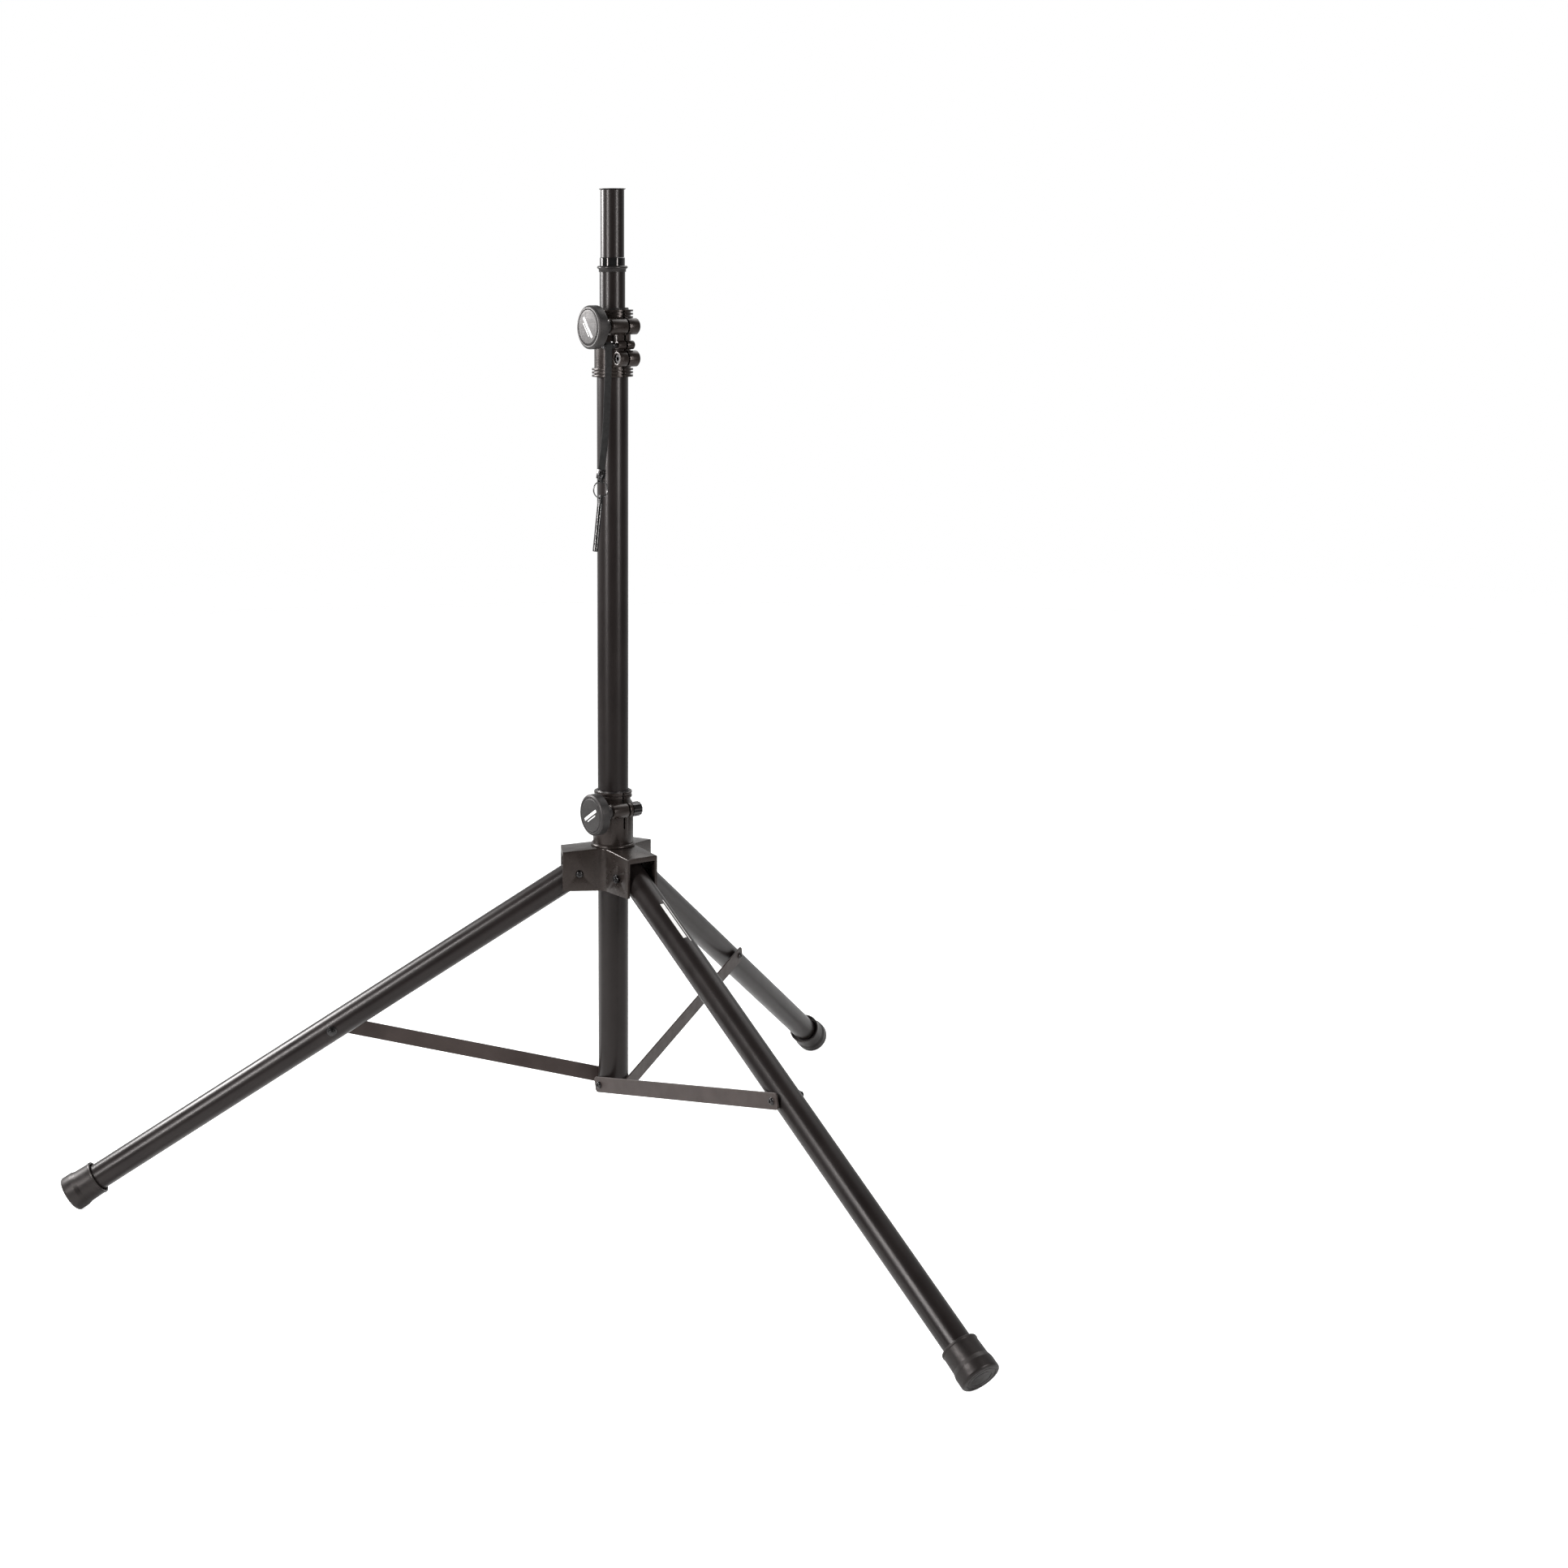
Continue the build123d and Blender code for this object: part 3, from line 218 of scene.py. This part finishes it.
def bar_paint():
    """Matt grey-brown coat on flat steel, with its sharp edges painted lighter: a painted edge highlight, and
    a little wear.
    """
    s = Shader("bar_paint")
    tone = s.mix(s.ramp(s.noise(22, 4), 0.35, 0.65), (0.023, 0.0160, 0.0145), (0.033, 0.0240, 0.0220))
    # The lighter sharp edges are a painted edge highlight, and partly wear.
    color = s.mix(s.math("MULTIPLY", s.highlight_and_wear_edges(0.0008), 0.5), tone, (0.12, 0.11, 0.105))
    roughness = s.ramp(s.noise(60, 3), 0.3, 0.7, 0.34, 0.46)
    peel = s.bump(s.noise(480, 2), 0.00002)
    return s.finish(color, roughness, peel, Specular_IOR_Level=0.35, Specular_Tint=(1.0, 0.90, 0.86, 1))


def casting_paint():
    """Black paint on a casting: a fine grain, and sharp edges painted lighter in patches: a painted edge
    highlight, and partly wear where the paint wears thin.
    """
    s = Shader("casting_paint")
    tone = s.mix(s.ramp(s.noise(30, 5), 0.35, 0.65), (0.0120, 0.0090, 0.0078), (0.0185, 0.0145, 0.0128))
    # Lighter sharp edges in patches: a painted edge highlight, and partly wear.
    edge_highlight_and_wear = s.math("MULTIPLY", s.highlight_and_wear_edges(0.0009), s.ramp(s.noise(160, 3), 0.4, 0.62, 0.05, 0.5))
    color = s.mix(edge_highlight_and_wear, tone, (0.09, 0.080, 0.076))
    roughness = s.ramp(s.noise(90, 3), 0.3, 0.7, 0.24, 0.34)
    grain = s.bump(s.noise(900, 3, 0.7), 0.00004)
    return s.finish(color, roughness, grain, Specular_IOR_Level=0.34, Specular_Tint=(1.0, 0.88, 0.84, 1))


def moulded(name, dark, light, rough_low, rough_high, grain_scale, grain_depth, marks=()):
    """A moulded black plastic or rubber, with the grain of its mould."""
    s = Shader(name)
    color = s.mix(s.ramp(s.noise(35, 4), 0.35, 0.65), dark, light)
    roughness = s.ramp(s.noise(120, 3), 0.3, 0.7, rough_low, rough_high)
    grain = s.bump(s.noise(grain_scale, 2, 0.6), grain_depth)
    return s.finish(printed(s, color, marks), roughness, grain, Specular_IOR_Level=0.36,
                    Specular_Tint=(1.0, 0.92, 0.90, 1))


def metal(name, dark, light, rough_low, rough_high, brushed=(1, 1, 1)):
    """A bare or plated metal with fine lines or grain."""
    s = Shader(name)
    color = s.mix(s.ramp(s.noise(90, 4), 0.3, 0.7), dark, light)
    lines = s.noise(900, 2, 0.6, brushed)
    roughness = s.ramp(lines, 0.3, 0.7, rough_low, rough_high)
    return s.finish(color, roughness, s.bump(lines, 0.00003), Metallic=1.0)


def webbing():
    """Woven nylon: fine yarns over the ribs that its mesh has, and a soft sheen."""
    s = Shader("webbing")
    yarns = s.noise(1500, 2, 0.6, (1, 1, 0.3))
    color = s.mix(s.ramp(yarns, 0.3, 0.7), (0.004, 0.004, 0.004), (0.013, 0.012, 0.012))
    roughness = s.ramp(s.noise(200, 3), 0.3, 0.7, 0.60, 0.78)
    return s.finish(color, roughness, s.bump(yarns, 0.00015), Sheen_Weight=0.06, Specular_IOR_Level=0.30)


# The knobs' dark and light tones, roughness from and to, and the scale and depth of the grain
KNOB_GRAIN = ((0.013, 0.0125, 0.0125), (0.022, 0.021, 0.021), 0.38, 0.50, 1100, 0.00012)

finishes = {
    "tube_paint": tube_paint(),
    "bar_paint": bar_paint(),
    "casting_paint": casting_paint(),
    "plastic": moulded("plastic", (0.008, 0.0075, 0.0075), (0.014, 0.013, 0.013), 0.32, 0.45, 700, 0.00005),
    "gloss_plastic": moulded("gloss_plastic", (0.006, 0.006, 0.006), (0.010, 0.010, 0.010), 0.08, 0.15, 500,
                             0.00001),
    "knob_plastic": moulded("knob_plastic", *KNOB_GRAIN),
    "rubber": moulded("rubber", (0.0060, 0.0048, 0.0046), (0.0110, 0.0090, 0.0086), 0.36, 0.46, 800, 0.00003),
    "black_steel": metal("black_steel", (0.030, 0.029, 0.030), (0.075, 0.072, 0.072), 0.20, 0.34),
    "nickel": metal("nickel", (0.060, 0.058, 0.058), (0.110, 0.107, 0.106), 0.16, 0.28),
    "webbing": webbing(),
}


def paint(made, slot):
    made.data.materials.clear()
    made.data.materials.append(finishes[slot])


for node, slot in slots.items():
    paint(nodes[node], slot)

# ---- mesh helpers -----------------------------------------------------------------------------------

UP = Vector((0, 0, 1))
TAU = 2 * pi


def outward(azimuth):
    return polar(radians(azimuth), 1, 0)


def clockwise(azimuth):
    return outward(azimuth).cross(UP)


def rounded(points, closed=False):
    """Outline of (along, radius, rounding) points in mm, as (along, radius) points with rounded corners."""
    out = []
    count = len(points)
    for place, (along, radius, rounding) in enumerate(points):
        if rounding == 0:
            out.append((along, radius))
            continue
        here = Vector((along, radius))
        before = Vector(points[place - 1][:2]) - here
        after = Vector(points[(place + 1) % count][:2]) - here
        cut = min(rounding / tan(before.angle(after) / 2), 0.45 * before.length, 0.45 * after.length)
        start = here + before.normalized() * cut
        end = here + after.normalized() * cut
        for step in range(5):
            t = step / 4
            point = start * (1 - t) ** 2 + here * 2 * t * (1 - t) + end * t * t
            out.append((point.x, point.y))
    return out


def hexagon(turn):
    return cos(pi / 6) / cos(turn % (pi / 3) - pi / 6)


def lobes(turn):
    return 1 - 0.03 * (1 - cos(12 * turn))


def bridge(bm, first, second):
    """Faces between two rings of vertices, either of which may be a single vertex."""
    size = max(len(first), len(second))
    for place in range(size):
        after = (place + 1) % size
        corners = [first[place % len(first)], first[after % len(first)],
                   second[after % len(second)], second[place % len(second)]]
        kept = [corner for spot, corner in enumerate(corners) if corner not in corners[:spot]]
        if len(kept) > 2:
            bm.faces.new(kept)


def lathe(bm, origin, axis, outline, closed=False, segments=48, shapes=None):
    """Turns an outline of (along, radius) points in mm about an axis. shapes gives the form of a point's ring
    where it isn't round."""
    side = axis.orthogonal().normalized()
    across = axis.cross(side)
    rings = []
    for place, (along, radius) in enumerate(outline):
        middle = origin + axis * along * MM
        if radius < 1e-6:
            rings.append([bm.verts.new(middle)])
            continue
        shape = (shapes or {}).get(place)
        ring = []
        for step in range(segments):
            turn = TAU * step / segments
            reach = radius * MM * (shape(turn) if shape else 1)
            ring.append(bm.verts.new(middle + (side * cos(turn) + across * sin(turn)) * reach))
        rings.append(ring)
    for first, second in zip(rings, rings[1:]):
        bridge(bm, first, second)
    if closed:
        bridge(bm, rings[-1], rings[0])


def sweep(bm, path, section):
    """Skins a closed section along a path: section(place, length) gives the ring at a point of it."""
    run = 0.0
    rings = []
    for place, point in enumerate(path):
        if place:
            run += (point - path[place - 1]).length
        ahead = path[min(place + 1, len(path) - 1)] - path[max(place - 1, 0)]
        rings.append([bm.verts.new(spot) for spot in section(point, ahead.normalized(), run)])
    for first, second in zip(rings, rings[1:]):
        bridge(bm, first, second)
    bm.faces.new(rings[0][::-1])
    bm.faces.new(rings[-1])


def piece(name, bm, body, slot, replaced=(), sharp=32):
    """A new visual piece from a bmesh, riding on a body, in place of the CAD nodes it replaces."""
    bmesh.ops.recalc_face_normals(bm, faces=bm.faces)
    mesh = bpy.data.meshes.new(name)
    bm.to_mesh(mesh)
    bm.free()
    mesh.polygons.foreach_set("use_smooth", [True] * len(mesh.polygons))
    mesh.set_sharp_from_angle(angle=radians(sharp))
    made = bpy.data.objects.new(name, mesh)
    scene.collection.objects.link(made)
    paint(made, slot)
    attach(made, body)
    for node in replaced:
        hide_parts(node)
    return made


def softened(node, body, width):
    """A copy of a CAD node with its sharp outer edges rounded, in place of that node."""
    slot = slots[node]
    bm = bmesh.new()
    bm.from_mesh(nodes[node].data)
    bmesh.ops.remove_doubles(bm, verts=bm.verts, dist=1e-6)
    bmesh.ops.dissolve_limit(bm, angle_limit=radians(0.5), verts=bm.verts, edges=bm.edges)
    sharp = [edge for edge in bm.edges if edge.is_manifold and edge.calc_face_angle_signed() > radians(33)]
    bmesh.ops.bevel(bm, geom=sharp, offset=width * MM, segments=2, profile=0.5, affect="EDGES",
                    clamp_overlap=True)
    return piece(f"{node}_form", bm, body, slot, [node])


# ---- sizes of the CAD model, in mm ------------------------------------------------------------------

AZIMUTHS = (270, 30, 150)
MAST_R = 23.5
LEG_R = 21.0
PIVOT_RADIUS = 54.0
PIVOT_Z = 538.0
LEG_ANGLE = 32.5
FOOT_END = 958.62
BAR_OUTSIDE = 27.3
BRACE_FOOT_Z = 192.0
BRACE_ON_LEG = 460.0
BOSS_Y = -33.0
HUB_BOSS_Y = -36.0
CLAMP_Z = 1370.0
HUB_CLAMP_Z = 639.0
LANYARD_Z = 1343.0
HALF_ARM = 27.5
BOLT_R = 3.0
LEG_BOLT_END = HALF_ARM + 8.0


def place(x, y, z):
    return Vector((x, y, z)) * MM


def leg_axis(azimuth):
    return outward(azimuth) * cos(radians(LEG_ANGLE)) - UP * sin(radians(LEG_ANGLE))


def leg_place(azimuth, along):
    return (outward(azimuth) * PIVOT_RADIUS + UP * PIVOT_Z + leg_axis(azimuth) * along) * MM


# ---- castings and small machined pieces -------------------------------------------------------------

softened("top_collar", "mast", 0.7)
softened("hub_collar", "hub", 0.7)
softened("leg_housing", "hub", 1.5)
softened("base_ring", "hub", 0.8)
softened("collar_clamp_nut", "mast", 0.6)
softened("leg_pivot_nuts", "hub", 0.6)
softened("strap_clasp", "lanyard", 0.8)
softened("lanyard_washer", "mast", 0.3)
softened("rest_flange", "shaft", 0.4)
for number in (1, 2, 3):
    softened(f"brace_stud_{number}", f"leg_{number}", 0.4)
    softened(f"brace_spacer_{number}", f"brace_{number}", 0.5)


def button_bolt(bm, azimuth, out, height, start, head_start, tip=0.0):
    """A bolt across a leg or brace, with a low domed head and a hex socket. Distances are clockwise."""
    origin = outward(azimuth) * out * MM + UP * height * MM
    outline = [(tip or start, 0), (tip or start, BOLT_R), (head_start, BOLT_R), (head_start, 5.8)]
    outline += [(head_start + 0.8, 5.8), (head_start + 1.1, 5.3), (head_start + 2.4, 4.7)]
    outline += [(head_start + 3.2, 3.8), (head_start + 3.5, 2.9)]
    outline += [(head_start + 3.5, 2.3), (head_start + 1.5, 2.3), (head_start + 1.5, 0)]
    lathe(bm, origin, clockwise(azimuth), outline, shapes={9: hexagon, 10: hexagon})


bm = bmesh.new()
for azimuth in AZIMUTHS:
    button_bolt(bm, azimuth, 0, BRACE_FOOT_Z, 8.0, BAR_OUTSIDE + 0.3)
piece("brace_pivot_bolts_form", bm, "mast", "black_steel", ["brace_pivot_bolts"])

brace_out = PIVOT_RADIUS + BRACE_ON_LEG * cos(radians(LEG_ANGLE))
brace_up = PIVOT_Z - BRACE_ON_LEG * sin(radians(LEG_ANGLE))
for number, azimuth in enumerate(AZIMUTHS, start=1):
    bm = bmesh.new()
    button_bolt(bm, azimuth, brace_out, brace_up, LEG_R + 0.4, BAR_OUTSIDE)
    piece(f"brace_bolt_{number}_form", bm, f"brace_{number}", "black_steel", [f"brace_bolt_{number}"])

bm = bmesh.new()
for azimuth in AZIMUTHS:
    origin = (outward(azimuth) * PIVOT_RADIUS + UP * PIVOT_Z) * MM
    outline = [(LEG_BOLT_END, 0), (LEG_BOLT_END, 3.2), (LEG_BOLT_END - 0.8, 4.0), (-HALF_ARM, 4.0)]
    outline += [(-HALF_ARM, 5.8), (-HALF_ARM - 0.8, 5.8)]
    outline += [(-HALF_ARM - 2.4, 5.0), (-HALF_ARM - 3.2, 3.9), (-HALF_ARM - 3.5, 2.9)]
    outline += [(-HALF_ARM - 3.5, 2.3), (-HALF_ARM - 1.5, 2.3), (-HALF_ARM - 1.5, 0)]
    lathe(bm, origin, clockwise(azimuth), outline, shapes={9: hexagon, 10: hexagon})
piece("leg_pivot_bolts_form", bm, "hub", "black_steel", ["leg_pivot_bolts"])

LEFTWARD = Vector((-1, 0, 0))

# The fluted nut at the right-hand end of the hub's clamp bolt.
bm = bmesh.new()
outline = [(-8, 4.1), (-8, 11.4), (-9, 11.4), (-22.4, 11.4), (-23.4, 10.9), (-24, 9.6), (-24, 7.0)]
outline += [(-23.2, 6.4), (-23.2, 4.1)]
lathe(bm, place(0, HUB_BOSS_Y, HUB_CLAMP_Z), LEFTWARD, outline, closed=True, segments=120,
      shapes={1: lobes, 2: lobes, 3: lobes, 4: lobes})
piece("hub_clamp_nut_form", bm, "hub", "black_steel", ["hub_clamp_nut"])

# The two clamp knobs: a turned body with a rounded rim and a groove, and a shallow domed face.
for name, height, y in (("upper", CLAMP_Z, BOSS_Y), ("lower", HUB_CLAMP_Z, HUB_BOSS_Y)):
    body = f"{name}_knob"
    centre = place(0, y, height)
    bm = bmesh.new()
    outline = rounded([(30.3, 4.0, 0), (30.3, 9.0, 0.8), (44.5, 9.3, 3), (47.5, 13.0, 2), (48.5, 27.0, 1.5),
                       (50.5, 31.8, 1.8), (63.4, 31.8, 2.2), (65.5, 29.0, 1.4), (65.5, 26.6, 0.3),
                       (64.7, 26.2, 0.2), (63.5, 26.0, 0), (63.5, 4.0, 0)], closed=True)
    lathe(bm, centre, LEFTWARD, outline, closed=True, segments=96)
    piece(f"{name}_knob_form", bm, body, "knob_plastic", [f"{name}_knob_body"])
    bm = bmesh.new()
    outline = rounded([(63.5, 0, 0), (63.5, 25.9, 0), (65.3, 25.9, 0.6), (66.0, 23.5, 2.5), (66.5, 0, 0)])
    lathe(bm, centre, LEFTWARD, outline, segments=96)
    made = piece(f"{name}_knob_face", bm, body, "knob_plastic", [f"{name}_knob_cap"])
    slope = radians(52) if name == "upper" else radians(-32)
    along = Vector((0, cos(slope), sin(slope)))
    across = Vector((0, -sin(slope), cos(slope)))
    front = centre + LEFTWARD * 66 * MM
    marks = [(front, along, across, 0.0180, 0.0022, LEFTWARD),
             (front - across * 0.0056, along, across, 0.0120, 0.0008, LEFTWARD)]
    made.data.materials[0] = moulded(f"{name}_knob_print", *KNOB_GRAIN, marks)

# ---- rubber feet ------------------------------------------------------------------------------------

for number, azimuth in enumerate(AZIMUTHS, start=1):
    bm = bmesh.new()
    end = FOOT_END
    outline = [(911, LEG_R, 0), (911, 23.8, 0.8), (905.6, 23.8, 0.6), (905, 24.6, 0.4), (905, 26.9, 0.7),
               (908, 27.2, 0.8), (908.8, 26.4, 0.8), (end - 25, 27.0, 3), (end - 18, 28.9, 3),
               (end - 4, 29.0, 0)]
    outline += [(end - 2.8, 28.9, 0), (end - 1.2, 28.1, 0), (end - 0.35, 26.9, 0), (end, 25.4, 0)]
    outline += [(end, 22.6, 0), (end - 0.5, 22.2, 0), (end - 0.5, 21.4, 0), (end, 21.0, 0), (end, 15.6, 0),
                (end - 0.5, 15.2, 0), (end - 0.5, 14.4, 0), (end, 14.0, 0), (end, 0, 0)]
    outline = rounded([(end - 10, 0, 0), (end - 10, LEG_R, 0)] + outline)
    lathe(bm, leg_place(azimuth, 0), leg_axis(azimuth), outline, segments=72)
    piece(f"foot_cap_{number}_form", bm, f"leg_{number}", "rubber", [f"foot_cap_{number}"])

# The print on the front leg, as a plain bar and line on top of the tube.
azimuth = AZIMUTHS[0]
top = outward(azimuth) * sin(radians(LEG_ANGLE)) + UP * cos(radians(LEG_ANGLE))
middle = leg_place(azimuth, 118) + top * LEG_R * MM
ways = (leg_axis(azimuth), clockwise(azimuth))
marks = [(middle + ways[1] * 0.002, *ways, 0.036, 0.0030, top),
         (middle - ways[1] * 0.0045, *ways, 0.044, 0.0006, top)]
nodes["leg_tube_1"].data.materials[0] = tube_paint("tube_paint_print", marks)

# ---- lanyard ----------------------------------------------------------------------------------------

STRAP_ROUTE = (
    (-0.0300, 1.3377),
    (-0.0298, 1.3040),
    (-0.0319, 1.2680),
    (-0.0331, 1.2320),
    (-0.0372, 1.1960),
    (-0.0424, 1.1615),
)
STRAP_WIDE = 12.0
STRAP_THICK = 1.6
RING = place(-44, BOSS_Y, 1132)
RING_R = 12.4


def smooth_path(points):
    """Points read from a NURBS curve with the given control points."""
    curve = bpy.data.curves.new("strap_route", "CURVE")
    curve.dimensions = "3D"
    curve.resolution_u = 40
    spline = curve.splines.new("NURBS")
    spline.points.add(len(points) - 1)
    for spot, point in zip(spline.points, points):
        spot.co = (*point, 1)
    spline.order_u = 3
    spline.use_endpoint_u = True
    holder = bpy.data.objects.new("strap_route", curve)
    scene.collection.objects.link(holder)
    bpy.context.view_layer.update()
    line = bpy.data.meshes.new_from_object(holder)
    path = [vertex.co.copy() for vertex in line.vertices]
    bpy.data.objects.remove(holder)
    bpy.data.curves.remove(curve)
    bpy.data.meshes.remove(line)
    return path


def evenly(path, step):
    """The path again, with a point at each step of its length."""
    out = [path[0]]
    left = step
    for start, end in zip(path, path[1:]):
        span = (end - start).length
        while left <= span:
            out.append(start.lerp(end, left / span))
            left += step
        left -= span
    return out + [path[-1]]


def woven(half_wide, half_thick, shift=0.0):
    """The strap's section: thin, with rounded edges, and with ribs that meet in a herringbone."""
    profile = []
    for sign in (1, -1):
        for share in (-1.0, -0.96, -0.85, -0.6, -0.3, 0.0, 0.3, 0.6, 0.85, 0.96, 1.0):
            thick = half_thick * (0.25 if abs(share) == 1 else 0.75 if abs(share) > 0.9 else 1)
            profile.append((share * sign * half_wide, thick * sign))

    def section(point, ahead, run):
        sideways = Vector((0, 1, 0)).cross(ahead)
        for across, thick in profile:
            rib = 1 + 0.16 * cos(TAU * (run / MM / 1.5 + abs(across) / 3.2))
            yield point + sideways * across * MM + Vector((0, thick * rib + shift, 0)) * MM

    return section


strap_path = smooth_path([Vector((x, BOSS_Y * MM, z)) for x, z in STRAP_ROUTE])
bm = bmesh.new()
sweep(bm, evenly(strap_path, 0.25 * MM), woven(STRAP_WIDE / 2, STRAP_THICK / 2))
strap = piece("lanyard_strap_woven", bm, "lanyard", "webbing", ["lanyard_strap"], sharp=70)

# The strap's end goes round the screw and is sewn down on the strap's face.
bm = bmesh.new()
outline = rounded([(24.2, 2.9, 0.3), (35.8, 2.9, 0.3), (35.8, 4.9, 0.5), (24.2, 4.9, 0.5)], closed=True)
lathe(bm, place(0, BOSS_Y, LANYARD_Z), LEFTWARD, outline, closed=True)
piece("strap_loop", bm, "lanyard", "webbing", ["strap_eyelet"])
tail = [Vector((-0.0300, BOSS_Y * MM, 1.3395)), Vector((-0.02995, BOSS_Y * MM, 1.3280)),
        Vector((-0.0299, BOSS_Y * MM, 1.3150))]
bm = bmesh.new()
sweep(bm, evenly(tail, 0.25 * MM), woven(STRAP_WIDE / 2 - 0.2, 0.7, -1.55))
piece("strap_tail", bm, "lanyard", "webbing", sharp=70)

bm = bmesh.new()
for height in (1334.5, 1331.5, 1328.5, 1325.5, 1322.5, 1319.5):
    for across in (-3.6, 3.6):
        start = place(-29.95 + across, BOSS_Y - 2.35, height)
        lathe(bm, start, Vector((0.25, 0, -1)).normalized(),
              [(0, 0), (0.15, 0.2), (0.4, 0.3), (1.6, 0.3), (1.85, 0.2), (2.0, 0)], segments=10)
piece("strap_stitches", bm, "lanyard", "webbing")

# A split ring: two turns of wire side by side.
bm = bmesh.new()
TURNS = 2.05
STEPS = 180


def wire(point, ahead, run):
    outwards = (point - RING - Vector((0, (point - RING).y, 0))).normalized()
    for step in range(12):
        turn = TAU * step / 12
        yield point + (outwards * cos(turn) + Vector((0, 1, 0)) * sin(turn)) * 0.62 * MM


coil = []
for step in range(STEPS + 1):
    turn = TAU * TURNS * step / STEPS
    lift = 1.24 * min(max((turn - TAU * 0.95) / (TAU * 0.12), 0), 1) - 0.62
    coil.append(RING + Vector((sin(turn), 0, cos(turn))) * RING_R * MM + Vector((0, lift * MM, 0)))
sweep(bm, coil, wire)
ring = piece("split_ring_coil", bm, "lanyard", "nickel", ["split_ring"])

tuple(strap_path[0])

# ---- studio -----------------------------------------------------------------------------------------

FLOOR_RADIUS = 9.0
FLOOR_GLOW = 0.78


def area_light(name, azimuth, distance, height, aim_height, size, power, color=(1, 1, 1)):
    """A softbox that stands at an azimuth from the mast and faces it."""
    data = bpy.data.lights.new(name, "AREA")
    data.shape = "RECTANGLE"
    data.size, data.size_y = size
    data.energy = power
    data.color = color
    light = bpy.data.objects.new(name, data)
    light.location = polar(azimuth, distance, height)
    aim = Vector((0, 0, aim_height)) - light.location
    light.rotation_mode = "QUATERNION"
    light.rotation_quaternion = aim.to_track_quat("-Z", "Y")
    scene.collection.objects.link(light)


def add_studio():
    """A white floor that fades into a white surround, and softboxes beside and above the stand."""
    bm = bmesh.new()
    bmesh.ops.create_circle(bm, cap_ends=True, segments=96, radius=FLOOR_RADIUS)
    mesh = bpy.data.meshes.new("floor")
    bm.to_mesh(mesh)
    bm.free()
    floor = bpy.data.objects.new("floor", mesh)
    scene.collection.objects.link(floor)
    s = Shader("floor_paper")
    color = s.mix(s.ramp(s.noise(3, 3), 0.3, 0.7), (0.86, 0.86, 0.855), (0.88, 0.88, 0.875))
    s.finish(color, s.ramp(s.noise(40, 3), 0.3, 0.7, 0.7, 0.8), Emission_Color=(1, 1, 1, 1))
    seen = s.add("ShaderNodeLightPath").outputs["Is Camera Ray"]
    s.tree.links.new(s.math("MULTIPLY", seen, FLOOR_GLOW), s.bsdf.inputs["Emission Strength"])
    length = s.add("ShaderNodeVectorMath", {0: s.coords}, {"operation": "LENGTH"})
    alpha = s.ramp(length.outputs["Value"], 0.35 * FLOOR_RADIUS, 0.95 * FLOOR_RADIUS, 1.0, 0.0)
    s.tree.links.new(alpha, s.bsdf.inputs["Alpha"])
    mesh.materials.append(s.material)

    area_light("left_strip", CAMERA_AZIMUTH - radians(46), 2.6, 1.65, 1.3, (0.26, 1.7), 70)
    area_light("right_strip", CAMERA_AZIMUTH + radians(46), 2.6, 1.65, 1.3, (0.24, 1.7), 48)
    area_light("knob_box", CAMERA_AZIMUTH - radians(112), 2.6, 1.9, 1.4, (0.9, 0.9), 115)
    area_light("top_box", CAMERA_AZIMUTH + radians(150), 1.9, 3.2, 0.6, (2.4, 2.4), 40)

    world = bpy.data.worlds.new("studio")
    scene.world = world
    world.use_nodes = True
    tree = world.node_tree
    background = tree.nodes["Background"]
    coords = tree.nodes.new("ShaderNodeTexCoord")
    dot = tree.nodes.new("ShaderNodeVectorMath")
    dot.operation = "DOT_PRODUCT"
    tree.links.new(coords.outputs["Generated"], dot.inputs[0])
    dot.inputs[1].default_value = -polar(CAMERA_AZIMUTH, 1, 0)
    spread = tree.nodes.new("ShaderNodeMapRange")
    spread.inputs["From Min"].default_value = -0.2
    spread.inputs["From Max"].default_value = 0.9
    spread.inputs["To Min"].default_value = 0.02
    spread.inputs["To Max"].default_value = 0.70
    tree.links.new(dot.outputs["Value"], spread.inputs["Value"])
    seen = tree.nodes.new("ShaderNodeLightPath")
    lit = tree.nodes.new("ShaderNodeMath")
    lit.operation = "MAXIMUM"
    tree.links.new(seen.outputs["Is Camera Ray"], lit.inputs[0])
    tree.links.new(spread.outputs["Result"], lit.inputs[1])
    tree.links.new(lit.outputs[0], background.inputs["Strength"])
    background.inputs["Color"].default_value = (1, 1, 1, 1)
    scene.view_settings.view_transform = "Standard"


add_studio()
